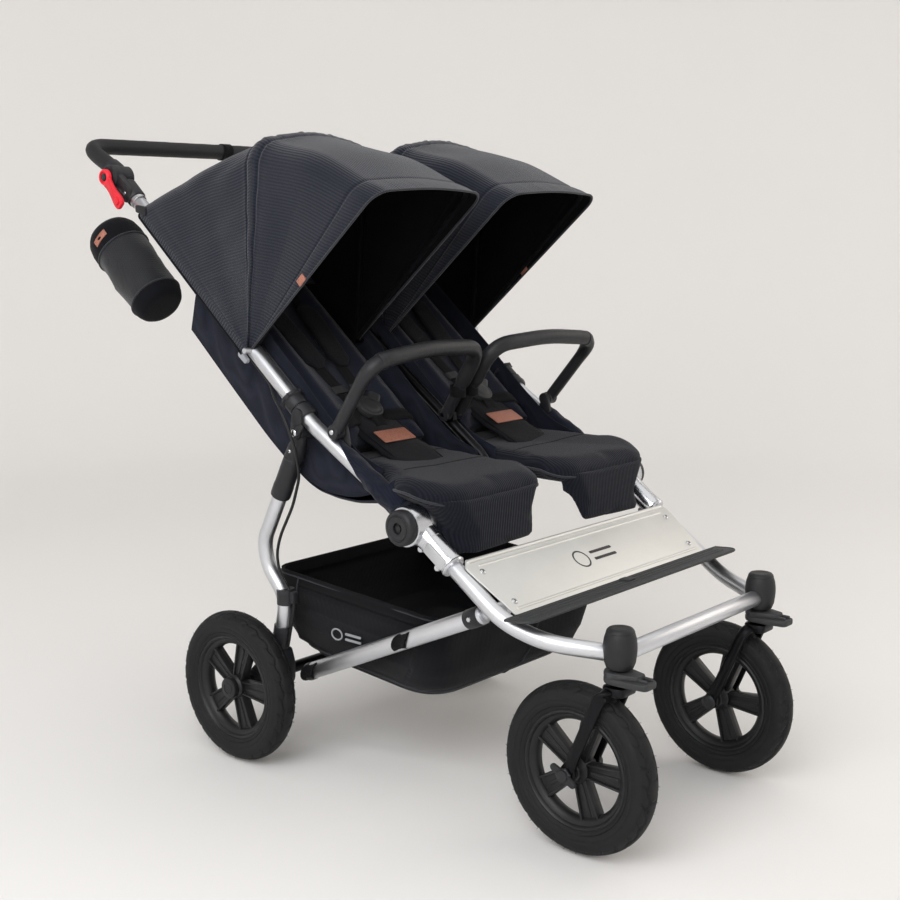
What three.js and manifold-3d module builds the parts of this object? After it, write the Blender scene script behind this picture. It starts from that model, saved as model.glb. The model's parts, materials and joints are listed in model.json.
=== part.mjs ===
// Side-by-side double all-terrain stroller, in millimetres, +Z up, front towards -Y.
// The plane x = 0 is the plane of symmetry. "left" is the pusher's left, which is +X.
import * as THREE from 'three';
import { mergeVertices } from 'three/addons/utils/BufferGeometryUtils.js';
import Module from 'manifold-3d';

const wasm = await Module();
wasm.setup();

// ---------------------------------------------------------------- driving dimensions
const FIT = 0.3;                  // running gap between pieces that touch
const SPLIT = 1;                  // gap between pieces that end face to face

const WHEEL = { radius: 129, width: 44, rimRadius: 88, hubRadius: 20, hubWidth: 46, spokes: 5, segments: 24 };
const AXLE_RADIUS = 6;
const REAR = { x: 293, y: 185, z: WHEEL.radius };
const FRONT = { x: 200, y: -462, z: WHEEL.radius };
const TRAIL = 65;                 // swivel axis ahead of the front axle
const SWIVEL = { x: FRONT.x, y: FRONT.y - TRAIL, capLow: 294, capHigh: 352 };

// Side view pivots of the folding linkage, as [y, z].
const HUB = [-205, 463];          // main fold hinge, front frame to upper frame
const LEG_PIVOT = [40, 578];      // rear leg on the upper frame
const LOWER_PIVOT = [-346, 353];  // lower side tube on the front frame
const OPEN_PIVOT = [84, 157];     // lower side tube meets the rear leg bracket

const TUBE = { radius: 12.5, x: 268 };
const FRONT_TUBE_X = 270;
const LOWER_TUBE = { radius: 14, x: 234 };
const TUBE_BEND = [20, 593];      // upper tube turns a little steeper here
const UPPER_SLOPE = Math.atan(0.812);
const HANDLE_PIVOT = [508, 985];
const CANOPY_PIVOT = [150, 702];
const BAR_PIVOT = [-42, 587];
const BAR_RADIUS = 10.5;
const HANDLE = { y: 614, z: 1044, x: 262, radius: 14.5 };

const SEAT = { inner: 18, outer: 246, noseOuter: 280, top: 534, front: -265, shoulder: -176 };
const BACK = { inner: 38, outer: 246 };
// A canopy is stretched over bows: the top radius at each angle, and how far its shoulders drop.
const CANOPY = {
  inner: 31, outer: 285, wall: 3, hub: 9,
  bows: [
    { angle: 40, radius: 346, drop: 48 }, { angle: 65, radius: 327, drop: 48 },
    { angle: 90, radius: 342, drop: 48 },
  ],
};
const VISOR = {
  inner: 27, outer: 289, wall: 3, hub: 9,
  bows: [
    { angle: 88, radius: 354, drop: 42 }, { angle: 114, radius: 362, drop: 40 },
    { angle: 139, radius: 390, drop: 28 },
  ],
};

// The object's box is centred on the origin in y: front tyre to handle grip.
const SHIFT_Y = -((FRONT.y - WHEEL.radius) + (HANDLE.y + HANDLE.radius)) / 2;

// ---------------------------------------------------------------- finishes
const finish = (color, roughness, metalness) => ({ color, roughness, metalness });
const SILVER = finish(0xc9cbd0, 0.35, 0.9);
const CAST = finish(0xb4b7bd, 0.3, 0.95);
const PLATE = finish(0xd4d5d2, 0.45, 0.6);
const BLACK_PLASTIC = finish(0x17181b, 0.5, 0);
const BLACK_METAL = finish(0x101113, 0.45, 0.4);
const RUBBER = finish(0x1b1c1f, 0.8, 0);
const FOAM = finish(0x151618, 0.85, 0);
const FABRIC = finish(0x1c1e28, 0.95, 0);
const RED = finish(0xd3202f, 0.35, 0);
const MAT = finish(0x3b3c3e, 0.8, 0);

// ---------------------------------------------------------------- solid helpers
function signedVolume(geometry) {
  const p = geometry.getAttribute('position');
  const index = geometry.getIndex();
  const a = new THREE.Vector3();
  const b = new THREE.Vector3();
  const c = new THREE.Vector3();
  let sum = 0;
  for (let i = 0; i < index.count; i += 3) {
    a.fromBufferAttribute(p, index.getX(i));
    b.fromBufferAttribute(p, index.getX(i + 1));
    c.fromBufferAttribute(p, index.getX(i + 2));
    sum += a.dot(b.cross(c));
  }
  return sum / 6;
}

// Merges shared corners and turns the faces outwards.
function closed(source) {
  const bare = source.clone();
  bare.deleteAttribute('normal');
  bare.deleteAttribute('uv');
  const merged = mergeVertices(bare, 1e-3);
  const kept = [];
  const index = merged.getIndex();
  for (let i = 0; i < index.count; i += 3) {
    const face = [index.getX(i), index.getX(i + 1), index.getX(i + 2)];
    if (new Set(face).size === 3) kept.push(...face);
  }
  merged.setIndex(kept);
  if (signedVolume(merged) < 0) {
    for (let i = 0; i < kept.length; i += 3) [kept[i], kept[i + 1]] = [kept[i + 1], kept[i]];
    merged.setIndex(kept);
  }
  return merged;
}

function toSolid(geometry) {
  const g = closed(geometry);
  return new wasm.Manifold(new wasm.Mesh({
    numProp: 3,
    vertProperties: new Float32Array(g.getAttribute('position').array),
    triVerts: new Uint32Array(g.getIndex().array),
  }));
}

function toGeometry(solid) {
  const mesh = solid.getMesh();
  const g = new THREE.BufferGeometry();
  g.setAttribute('position', new THREE.BufferAttribute(new Float32Array(mesh.vertProperties), 3));
  g.setIndex([...mesh.triVerts]);
  return g;
}

const joined = (...parts) => toGeometry(parts.map(toSolid).reduce((a, b) => a.add(b)));
const cut = (part, ...tools) => toGeometry(tools.map(toSolid).reduce((a, b) => a.subtract(b), toSolid(part)));

function mirrored(geometry) {
  const g = geometry.clone().scale(-1, 1, 1);
  return closed(g);
}

// ---------------------------------------------------------------- shape helpers
// A route has one station at each listed point, with its corners rounded off.
class Route extends THREE.Curve {
  constructor(corners, bend = 0, turns = 3) {
    super();
    const at = corners.map((p) => new THREE.Vector3(...p));
    this.stations = [at[0]];
    for (let i = 1; i < at.length - 1; i += 1) {
      const reach = Math.min(bend, at[i].distanceTo(at[i - 1]) * 0.45, at[i].distanceTo(at[i + 1]) * 0.45);
      const before = at[i].clone().lerp(at[i - 1], reach / at[i].distanceTo(at[i - 1]));
      const after = at[i].clone().lerp(at[i + 1], reach / at[i].distanceTo(at[i + 1]));
      const arc = new THREE.QuadraticBezierCurve3(before, at[i], after);
      this.stations.push(...(reach > 0 ? arc.getPoints(turns) : [at[i]]));
    }
    this.stations.push(at[at.length - 1]);
  }

  get steps() {
    return this.stations.length - 1;
  }

  getPoint(t) {
    return this.stations[Math.round(t * this.steps)].clone();
  }

  getPointAt(t) {
    return this.getPoint(t);
  }

  getTangent(t) {
    const i = Math.round(t * this.steps);
    const here = this.stations[i];
    const ahead = this.stations[Math.min(i + 1, this.steps)].clone().sub(here).normalize();
    const behind = here.clone().sub(this.stations[Math.max(i - 1, 0)]).normalize();
    return ahead.add(behind).normalize();
  }

  getTangentAt(t) {
    return this.getTangent(t);
  }
}

function disc(radius, sides) {
  const shape = new THREE.Shape();
  for (let i = 0; i < sides; i += 1) {
    const a = (2 * Math.PI * i) / sides;
    shape[i ? 'lineTo' : 'moveTo'](radius * Math.cos(a), radius * Math.sin(a));
  }
  return shape;
}

// A round bar through the corners [x, y, z].
function bar(corners, radius, bend = 0, sides = 10, turns = 3) {
  const route = new Route(corners, bend, turns);
  return closed(new THREE.ExtrudeGeometry(disc(radius, sides), {
    extrudePath: route, steps: route.steps, bevelEnabled: false,
  }));
}

// A round pin along X between two x values, at the side view point [y, z].
function pin([y, z], fromX, toX, radius, sides = 12) {
  const g = new THREE.CylinderGeometry(radius, radius, toX - fromX, sides);
  g.rotateZ(Math.PI / 2);
  g.translate((fromX + toX) / 2, y, z);
  return closed(g);
}

// A side view outline [[y, z], ...] given thickness from one x value to another.
function slab(outline, fromX, toX) {
  const shape = new THREE.Shape(outline.map(([y, z]) => new THREE.Vector2(y, z)));
  const g = new THREE.ExtrudeGeometry(shape, { depth: toX - fromX, bevelEnabled: false });
  // shape x -> y, shape y -> z, depth -> x
  g.applyMatrix4(new THREE.Matrix4().makeBasis(
    new THREE.Vector3(0, 1, 0), new THREE.Vector3(0, 0, 1), new THREE.Vector3(1, 0, 0),
  ));
  g.translate(fromX, 0, 0);
  return closed(g);
}

// The side view outline of a link with round ends of two radii.
function link(a, b, radiusA, radiusB = radiusA, turns = 5) {
  const along = Math.atan2(b[1] - a[1], b[0] - a[0]);
  const points = [];
  for (const [centre, radius, start] of [[b, radiusB, along - Math.PI / 2], [a, radiusA, along + Math.PI / 2]]) {
    for (let i = 0; i <= turns; i += 1) {
      const t = start + (Math.PI * i) / turns;
      points.push([centre[0] + radius * Math.cos(t), centre[1] + radius * Math.sin(t)]);
    }
  }
  return points;
}

// A body of revolution about X from a profile of [x, r] pairs.
function turned(profile, segments) {
  const points = profile.map(([x, r]) => new THREE.Vector2(r, x));
  const g = new THREE.LatheGeometry(points, segments);
  g.rotateZ(-Math.PI / 2);
  return closed(g);
}

const towards = (from, angle, distance) => [
  from[0] + distance * Math.cos(angle), from[1] + distance * Math.sin(angle),
];
const angleOf = (from, to) => Math.atan2(to[1] - from[1], to[0] - from[0]);
const at = (x, [y, z]) => [x, y, z];

// ---------------------------------------------------------------- scene helpers
const stroller = new THREE.Group();
stroller.position.y = SHIFT_Y;

function add(name, geometry, look, parent = stroller) {
  const mesh = new THREE.Mesh(closed(geometry), new THREE.MeshStandardMaterial(look));
  mesh.name = name;
  parent.add(mesh);
  return mesh;
}

// Adds a left piece as modelled and its mirror image on the right.
function addPair(name, geometry, look) {
  add(`${name}_left`, geometry, look);
  add(`${name}_right`, mirrored(geometry), look);
}

// ---------------------------------------------------------------- wheels
function tyre() {
  const w = WHEEL.width / 2;
  const r = WHEEL.radius;
  const seat = WHEEL.rimRadius;
  const half = [[0.5 * w, seat], [w, seat + 11], [w, r - 16], [0.62 * w, r - 4]];
  const profile = [
    ...half.map(([x, q]) => [-x, q]), [0, r], ...[...half].reverse(), [-half[0][0], half[0][1]],
  ];
  return turned(profile, WHEEL.segments);
}

function rim() {
  const r = WHEEL.rimRadius - FIT;
  const ring = turned([[-15, r], [15, r], [15, r - 8], [6, r - 15], [-6, r - 15], [-15, r - 8], [-15, r]], WHEEL.segments);
  const h = WHEEL.hubWidth / 2;
  const hub = turned([[-h, 0], [-h, WHEEL.hubRadius - 3], [-h + 6, WHEEL.hubRadius], [h - 6, WHEEL.hubRadius],
    [h, WHEEL.hubRadius - 3], [h, 0]], 12);
  const spokes = [];
  for (let i = 0; i < WHEEL.spokes; i += 1) {
    const spoke = slab([[-11, 10], [11, 10], [17, r - 11], [-17, r - 11]], -7, 7);
    spokes.push(spoke.rotateX((2 * Math.PI * i) / WHEEL.spokes));
  }
  return cut(joined(ring, hub, ...spokes), pin([0, 0], -h - 5, h + 5, AXLE_RADIUS + FIT));
}

const tyreGeometry = tyre();
const rimGeometry = rim();
for (const [prefix, place] of [['front', FRONT], ['rear', REAR]]) {
  for (const [side, sign] of [['left', 1], ['right', -1]]) {
    const wheel = new THREE.Group();
    wheel.position.set(sign * place.x, place.y, place.z);
    add(`${prefix}_tyre_${side}`, tyreGeometry, RUBBER, wheel);
    add(`${prefix}_rim_${side}`, rimGeometry, BLACK_PLASTIC, wheel);
    stroller.add(wheel);
  }
}

// ---------------------------------------------------------------- front forks, locks and swivel caps
function upright(x, y, profile, segments = 14) {
  const g = new THREE.LatheGeometry(profile.map(([r, z]) => new THREE.Vector2(r, z)), segments);
  g.rotateX(Math.PI / 2);
  g.translate(x, y, 0);
  return closed(g);
}

const CROWN = { low: 254, high: 270, stemRadius: 12 };
const FORK_LEG = { inner: 28, outer: 37 };

function fork() {
  const crown = slab([[SWIVEL.y - 20, CROWN.low], [SWIVEL.y + 19, CROWN.low],
    [SWIVEL.y + 19, CROWN.high], [SWIVEL.y - 20, CROWN.high]], SWIVEL.x - FORK_LEG.outer, SWIVEL.x + FORK_LEG.outer);
  const stem = upright(SWIVEL.x, SWIVEL.y, [[0, CROWN.low + 4], [CROWN.stemRadius, CROWN.low + 4],
    [CROWN.stemRadius, SWIVEL.capLow - SPLIT], [0, SWIVEL.capLow - SPLIT]]);
  const outline = link([SWIVEL.y - 2, CROWN.low + 8], [FRONT.y, FRONT.z], 12, 13);
  const legs = [-1, 1].map((s) => {
    const edges = [s * FORK_LEG.inner, s * FORK_LEG.outer].sort((a, b) => a - b);
    return slab(outline, SWIVEL.x + edges[0], SWIVEL.x + edges[1]);
  });
  const bore = pin([FRONT.y, FRONT.z], SWIVEL.x - 60, SWIVEL.x + 60, AXLE_RADIUS + FIT);
  return cut(joined(crown, stem, ...legs), bore);
}

addPair('front_fork', fork(), BLACK_METAL);
addPair('front_axle', pin([FRONT.y, FRONT.z], FRONT.x - 44, FRONT.x + 44, AXLE_RADIUS), CAST);

function swivelLock() {
  const low = CROWN.high + 2;
  const high = SWIVEL.capLow - 2;
  const outline = new THREE.Shape();
  outline.absarc(0, 0, 22, Math.PI * 0.12, Math.PI * 0.88, false);
  outline.lineTo(-14, -52);
  outline.quadraticCurveTo(0, -62, 14, -52);
  const plate = new THREE.ExtrudeGeometry(outline, { depth: high - low, bevelEnabled: false, curveSegments: 10 });
  plate.translate(SWIVEL.x, SWIVEL.y, low);
  const hole = upright(SWIVEL.x, SWIVEL.y, [[0, low - 5], [CROWN.stemRadius + FIT, low - 5],
    [CROWN.stemRadius + FIT, high + 5], [0, high + 5]]);
  return cut(plate, hole);
}

addPair('swivel_lock', swivelLock(), MAT);

// ---------------------------------------------------------------- front frame
const FRONT_DOWN = angleOf(HUB, [-385, 337]);
const HUB_PIN = 8.8;
const CASTING = { ringRadius: 31, sleeveRadius: 18, sleeveEnd: 93, inner: 264, outer: 296 };
const sideTubeStart = towards(HUB, FRONT_DOWN, CASTING.sleeveEnd - 30);

const sideTubeCorners = [
  at(FRONT_TUBE_X, sideTubeStart), [FRONT_TUBE_X, -372, 346],
  [246, -432, 321], [SWIVEL.x + 2, SWIVEL.y + 12, 313],
];
const crossTubeCorners = [[-SWIVEL.x + 14, SWIVEL.y, 313], [SWIVEL.x - 14, SWIVEL.y, 313]];

const lowerPin = pin(LOWER_PIVOT, LOWER_TUBE.x - 8, FRONT_TUBE_X, 5);
addPair('front_side_tube', joined(bar(sideTubeCorners, TUBE.radius, 45), lowerPin), SILVER);
add('front_cross_tube', bar(crossTubeCorners, TUBE.radius), SILVER);

function swivelCap() {
  const { capLow: low, capHigh: high } = SWIVEL;
  const body = upright(SWIVEL.x, SWIVEL.y, [[0, low], [19, low], [22.5, low + 8], [24, low + 26],
    [22.5, high - 12], [19.5, high - 3], [15, high], [0, high]], 16);
  return cut(body, bar(sideTubeCorners, TUBE.radius + FIT, 45), bar(crossTubeCorners, TUBE.radius + FIT));
}

addPair('swivel_cap', swivelCap(), BLACK_PLASTIC);

function hingeCasting() {
  const { ringRadius, sleeveRadius, sleeveEnd, inner, outer } = CASTING;
  const ring = pin(HUB, inner, outer, ringRadius, 18);
  const sleeve = bar([at(FRONT_TUBE_X, towards(HUB, FRONT_DOWN, 16)),
    at(FRONT_TUBE_X, towards(HUB, FRONT_DOWN, sleeveEnd))], sleeveRadius);
  const lugRoom = pin(HUB, inner - 30, inner - FIT, 30.2, 18);
  const tubeBore = bar([at(FRONT_TUBE_X, towards(HUB, FRONT_DOWN, sleeveEnd - 32)),
    at(FRONT_TUBE_X, towards(HUB, FRONT_DOWN, sleeveEnd + 20))], TUBE.radius + FIT);
  return cut(joined(ring, sleeve), lugRoom, tubeBore, pin(HUB, inner - 40, outer + 5, HUB_PIN + 2 * FIT));
}

addPair('hinge_casting', hingeCasting(), CAST);

function hingeCover() {
  const x = CASTING.outer + FIT;
  const body = turned([[x, 0], [x, 27], [x + 11, 27], [x + 15, 23], [x + 15, 0]], 18);
  const recess = turned([[x + 9, 0], [x + 9, 6], [x + 20, 6], [x + 20, 0]], 6);
  return cut(body, recess).translate(0, HUB[0], HUB[1]);
}

addPair('hinge_cover', hingeCover(), BLACK_PLASTIC);

// The footplate lies on the front side tubes.
const PLATE_SLOPE = FRONT_DOWN + Math.PI;
const PLATE_CENTRE = [-341, 388];
const FOOTPLATE = { thickness: 3, half: 56, lowHalfWidth: 256, highHalfWidth: 272 };

function footplate() {
  const { half, lowHalfWidth: low, highHalfWidth: high, thickness } = FOOTPLATE;
  const outline = new THREE.Shape([[-low, -half], [low, -half], [high, half - 14], [high - 14, half],
    [-high + 14, half], [-high, half - 14]].map((p) => new THREE.Vector2(...p)));
  const g = new THREE.ExtrudeGeometry(outline, { depth: thickness, bevelEnabled: false });
  g.translate(0, 0, -thickness);
  return g.rotateX(PLATE_SLOPE).translate(0, ...PLATE_CENTRE);
}

add('footplate', footplate(), PLATE);

const kickStart = towards(PLATE_CENTRE, PLATE_SLOPE, -FOOTPLATE.half - SPLIT);
const KICK = { length: 50, thickness: 3, halfWidth: 290, rise: 0.09, lift: 1.4 };

function kickPlate() {
  const corner = 26;
  const w = KICK.halfWidth;
  const outline = new THREE.Shape();
  outline.moveTo(-w, 0);
  outline.lineTo(-w, -KICK.length + corner);
  outline.quadraticCurveTo(-w, -KICK.length, -w + corner, -KICK.length);
  outline.lineTo(w - corner, -KICK.length);
  outline.quadraticCurveTo(w, -KICK.length, w, -KICK.length + corner);
  outline.lineTo(w, 0);
  const g = new THREE.ExtrudeGeometry(outline, { depth: KICK.thickness, bevelEnabled: false, curveSegments: 5 });
  g.translate(0, 0, -KICK.thickness);
  return g.rotateX(-KICK.rise).translate(0, kickStart[0], kickStart[1] + KICK.lift);
}

add('kick_plate', kickPlate(), MAT);

// ---------------------------------------------------------------- lower side tubes and basket
const LOWER_RUN = angleOf(LOWER_PIVOT, OPEN_PIVOT);
const lowerEnd = Math.hypot(OPEN_PIVOT[0] - LOWER_PIVOT[0], OPEN_PIVOT[1] - LOWER_PIVOT[1]);

function lowerSideTube() {
  const along = (d) => at(LOWER_TUBE.x, towards(LOWER_PIVOT, LOWER_RUN, d));
  const eye = pin(LOWER_PIVOT, LOWER_TUBE.x - 7, LOWER_TUBE.x + 7, 11);
  const stub = bar([along(6), along(70)], 9);
  const tube = bar([along(40), along(lowerEnd - 14)], LOWER_TUBE.radius);
  return cut(joined(eye, stub, tube), pin(LOWER_PIVOT, LOWER_TUBE.x - 20, LOWER_TUBE.x + 20, 5 + FIT));
}

addPair('lower_side_tube', lowerSideTube(), SILVER);

const BASKET = { halfWidth: 214, wall: 3 };
const basketOutline = [[-202, 300], [-199, 230], [-184, 170], [-100, 150], [20, 151], [110, 172],
  [170, 218], [190, 275], [172, 330], [115, 314], [-50, 304]];

function basket() {
  const middle = [-10, 250];
  const inset = basketOutline.map(([y, z]) => {
    const open = z > 290;
    const reach = Math.hypot(y - middle[0], z - middle[1]);
    const k = (reach - BASKET.wall * 1.2) / reach;
    return [middle[0] + (y - middle[0]) * k, open ? z + 12 : middle[1] + (z - middle[1]) * k];
  });
  const w = BASKET.halfWidth;
  return cut(slab(basketOutline, -w, w), slab(inset, -w + BASKET.wall, w - BASKET.wall));
}

add('basket', basket(), FABRIC);

// ---------------------------------------------------------------- rear legs, brackets and axle
const SOCKET_END = [99, 468];
const LEG_RUN = angleOf(LEG_PIVOT, SOCKET_END);
const legX = (u) => TUBE.x - 0.02 * u;
const alongLeg = (u) => at(legX(u), towards(LEG_PIVOT, LEG_RUN, u));
const legCorners = [alongLeg(98), alongLeg(222), [258, 142, 338], [256, 101, 291], [254, 121, 205]];

addPair('rear_leg', bar(legCorners, TUBE.radius, 34), SILVER);

function legSocket() {
  const eye = pin(LEG_PIVOT, 257, 279, 10.5);
  const neck = bar([alongLeg(3), alongLeg(40)], 10.5);
  const sleeve = bar([alongLeg(24), alongLeg(128)], 16.5);
  const bore = bar([alongLeg(97), alongLeg(140)], TUBE.radius + FIT);
  return cut(joined(eye, neck, sleeve), pin(LEG_PIVOT, 240, 300, 5 + FIT), bore);
}

addPair('leg_socket', legSocket(), BLACK_PLASTIC);

const BRACKET = { inner: 240, outer: 262 };

function axleBracket() {
  const outline = [[98, 140], [98, 178], [106, 201], [137, 201], [152, 184], [190, 150], [206, 129],
    [196, 110], [172, 106], [140, 122]];
  return cut(slab(outline, BRACKET.inner, BRACKET.outer),
    pin([REAR.y, REAR.z], BRACKET.inner - 10, BRACKET.outer + 10, 10.8));
}

addPair('axle_bracket', axleBracket(), BLACK_METAL);

const axleShoulder = BRACKET.outer + 3;
const axleEnd = REAR.x + WHEEL.hubWidth / 2;
add('rear_axle', turned([[-axleEnd, 0], [-axleEnd, AXLE_RADIUS], [-axleShoulder, AXLE_RADIUS], [-axleShoulder, 10],
  [axleShoulder, 10], [axleShoulder, AXLE_RADIUS], [axleEnd, AXLE_RADIUS], [axleEnd, 0]], 16)
  .translate(0, REAR.y, REAR.z), BLACK_METAL);

// ---------------------------------------------------------------- upper frame
const LOWER_SLOPE = angleOf(HUB, TUBE_BEND);
const tubePoint = (u) => towards(TUBE_BEND, UPPER_SLOPE, u);
const handleRun = Math.hypot(HANDLE_PIVOT[0] - TUBE_BEND[0], HANDLE_PIVOT[1] - TUBE_BEND[1]);
const TUBE_TOP = tubePoint(handleRun - 34);

const upperCorners = [towards(HUB, LOWER_SLOPE, 34), TUBE_BEND, TUBE_TOP].map((p) => at(TUBE.x, p));
const UPPER_BEND = 25;

function upperTube() {
  const tube = bar(upperCorners, TUBE.radius, UPPER_BEND);
  const lug = slab(link(HUB, towards(HUB, LOWER_SLOPE, 62), 27, 12), 252, CASTING.inner - FIT * 2);
  const hubPin = pin(HUB, 252, CASTING.outer, HUB_PIN);
  const canopyStud = pin(CANOPY_PIVOT, TUBE.x, 294, 5);
  const footPin = pin(BAR_PIVOT, 256, 286, 4);
  const footEar = slab(link([BAR_PIVOT[0], BAR_PIVOT[1] - 30], BAR_PIVOT, 8, 7, 4), 256, 262);
  return joined(tube, lug, hubPin, canopyStud, footEar, footPin);
}

addPair('upper_tube', upperTube(), SILVER);

// Cross tubes and centre tube between the two seats, one welded piece.
const CROSS = { radius: 11, end: TUBE.x - TUBE.radius - 2 * FIT };
const SEAT_CROSS = [-125, 486];
const BACK_CROSS = [436, 912];

function seatSpine() {
  const low = bar([at(-CROSS.end, SEAT_CROSS), at(CROSS.end, SEAT_CROSS)], CROSS.radius, 0, 10);
  const high = bar([at(-CROSS.end, BACK_CROSS), at(CROSS.end, BACK_CROSS)], CROSS.radius, 0, 10);
  const centre = bar([at(0, SEAT_CROSS), [0, -112, 520], at(0, BACK_CROSS)], 9, 15, 10);
  const canopyPin = pin(CANOPY_PIVOT, -34, 34, 5);
  const barPin = pin(BAR_PIVOT, -27, 27, 4);
  const barLug = slab(link([BAR_PIVOT[0], BAR_PIVOT[1] - 18], BAR_PIVOT, 7), -5, 5);
  return joined(low, high, centre, canopyPin, barPin, barLug);
}

add('seat_spine', seatSpine(), BLACK_METAL);

function pivotBracket() {
  const collar = bar([at(TUBE.x, tubePoint(12)), at(TUBE.x, tubePoint(32))], 18);
  const ears = [[281, 286], [250, 255]].map(([a, b]) => slab(link(tubePoint(20), LEG_PIVOT, 12, 11), a, b));
  const bore = bar(upperCorners, TUBE.radius + FIT, UPPER_BEND);
  const body = cut(joined(collar, ...ears), bore, pin(LEG_PIVOT, 256, 280, 12));
  return joined(body, pin(LEG_PIVOT, 250, 290, 5));
}

addPair('pivot_bracket', pivotBracket(), BLACK_PLASTIC);

function lockCollar() {
  const collar = bar([at(TUBE.x, tubePoint(35)), at(TUBE.x, tubePoint(60))], 17);
  const flange = bar([at(TUBE.x, tubePoint(54)), at(TUBE.x, tubePoint(60))], 20);
  const bore = bar([at(TUBE.x, tubePoint(20)), at(TUBE.x, tubePoint(80))], TUBE.radius + FIT);
  return cut(joined(collar, flange), bore);
}

addPair('lock_collar', lockCollar(), BLACK_PLASTIC);

// ---------------------------------------------------------------- handle, joints and brake
function handleJoint() {
  const u = handleRun;
  const housing = pin(HANDLE_PIVOT, 270, 289, 22, 18);
  const arm = slab(link(HANDLE_PIVOT, tubePoint(u - 50), 17, 15), 270, 284);
  const sleeve = bar([at(TUBE.x, tubePoint(u - 66)), at(TUBE.x, tubePoint(u - 26))], 16.5);
  const button = pin(HANDLE_PIVOT, 289 - 2, 301, 6.5);
  const bore = bar([at(TUBE.x, tubePoint(u - 90)), at(TUBE.x, tubePoint(u - 33))], TUBE.radius + FIT);
  return cut(joined(housing, arm, sleeve, button), bore);
}

addPair('handle_joint', handleJoint(), BLACK_PLASTIC);

function handleBar() {
  const { x, y, z, radius } = HANDLE;
  const start = [HANDLE_PIVOT[0] + 6, HANDLE_PIVOT[1] + 6];
  const grip = bar([at(x - 4, start), [x, y, z], [-x, y, z], at(-x + 4, start)], radius, 42);
  const eyes = [[248, 269], [-269, -248]].map(([a, b]) => pin(HANDLE_PIVOT, a, b, 20));
  const clear = [[269, 300], [-300, -269]].map(([a, b]) => pin(HANDLE_PIVOT, a, b, 24));
  return cut(joined(grip, ...eyes), ...clear);
}

add('handle_bar', handleBar(), FOAM);

const LEVER = { inner: 291, outer: 300, tip: [463, 933] };

function brakeLever() {
  const ring = pin(HANDLE_PIVOT, LEVER.inner, LEVER.outer, 14, 16);
  const arm = slab(link(HANDLE_PIVOT, LEVER.tip, 8, 10), LEVER.inner, LEVER.outer);
  return mirrored(cut(joined(ring, arm), pin(HANDLE_PIVOT, 280, 310, 6.5 + FIT)));
}

add('brake_lever', brakeLever(), RED);

// The brake cable is clipped under the right upper tube, then beside the rear leg.
const underTube = (u) => [tubePoint(u)[0] + 17 * Math.sin(UPPER_SLOPE), tubePoint(u)[1] - 17 * Math.cos(UPPER_SLOPE)];
const cableCorners = [
  at(-268, underTube(520)), at(-268, underTube(110)), at(-282, underTube(78)), [-294, 62, 612], [-295, 44, 584],
  [-290, 34, 548], [-274, 44, 505], [-262, 74, 452], [-261, 108, 395], [-260, 119, 362], [-259, 112, 328],
  [-257, 79, 291], [-255, 92, 240], [-254, 103, 205],
];
add('brake_cable', bar(cableCorners, 2.5, 14, 8, 2), RUBBER);

// ---------------------------------------------------------------- soft parts
const noseOutline = [[SEAT.front, 502], [SEAT.front - 2, 518], [SEAT.front + 8, 530], [SEAT.front + 26, SEAT.top],
  [SEAT.shoulder, SEAT.top], [SEAT.shoulder, 502]];
const panOutline = [[SEAT.shoulder - 1, 502], [SEAT.shoulder - 1, SEAT.top], [-92, SEAT.top], [-66, 508],
  [44, 506], [58, 492], [40, 475], [-60, 473], [-98, 480], [-106, 502]];
const seatBase = () => joined(slab(noseOutline, SEAT.inner, SEAT.noseOuter), slab(panOutline, SEAT.inner, SEAT.outer));
addPair('seat_base', seatBase(), FABRIC);

// The back is a padded wedge: its front face slopes like the upper tube, its foot rests above the seat pan.
const backOutline = [[-30, 560], [290, 830], [318, 824], [348, 764], [350, 740], [116, 522], [66, 512], [20, 516]];
addPair('seat_back', slab(backOutline, BACK.inner, BACK.outer), FABRIC);

const CALF = { top: [-251, 496], length: 78, thickness: 13, lean: 0.14, topX: [34, 262], lowX: [44, 240], corner: 32 };

function calfRest() {
  const { length, thickness, corner, topX, lowX } = CALF;
  const outline = new THREE.Shape();
  outline.moveTo(topX[0], 0);
  outline.lineTo(lowX[0], -length + corner);
  outline.quadraticCurveTo(lowX[0], -length, lowX[0] + corner, -length);
  outline.lineTo(lowX[1] - corner, -length);
  outline.quadraticCurveTo(lowX[1], -length, lowX[1] + corner * 0.4, -length + corner);
  outline.lineTo(topX[1], 0);
  const g = new THREE.ExtrudeGeometry(outline, { depth: thickness, bevelEnabled: false, curveSegments: 4 });
  return g.rotateX(Math.PI / 2 - CALF.lean).translate(0, ...CALF.top);
}

addPair('calf_rest', calfRest(), FABRIC);

// Joins rings of the same number of points into one closed body, capped at both ends.
function loft(rings) {
  const count = rings[0].length;
  const points = rings.flat().flat();
  const faces = [];
  for (let k = 0; k < rings.length - 1; k += 1) {
    for (let i = 0; i < count; i += 1) {
      const a = k * count + i;
      const b = k * count + ((i + 1) % count);
      faces.push(a, b, a + count, b, b + count, a + count);
    }
  }
  return { points, faces, count };
}

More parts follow.
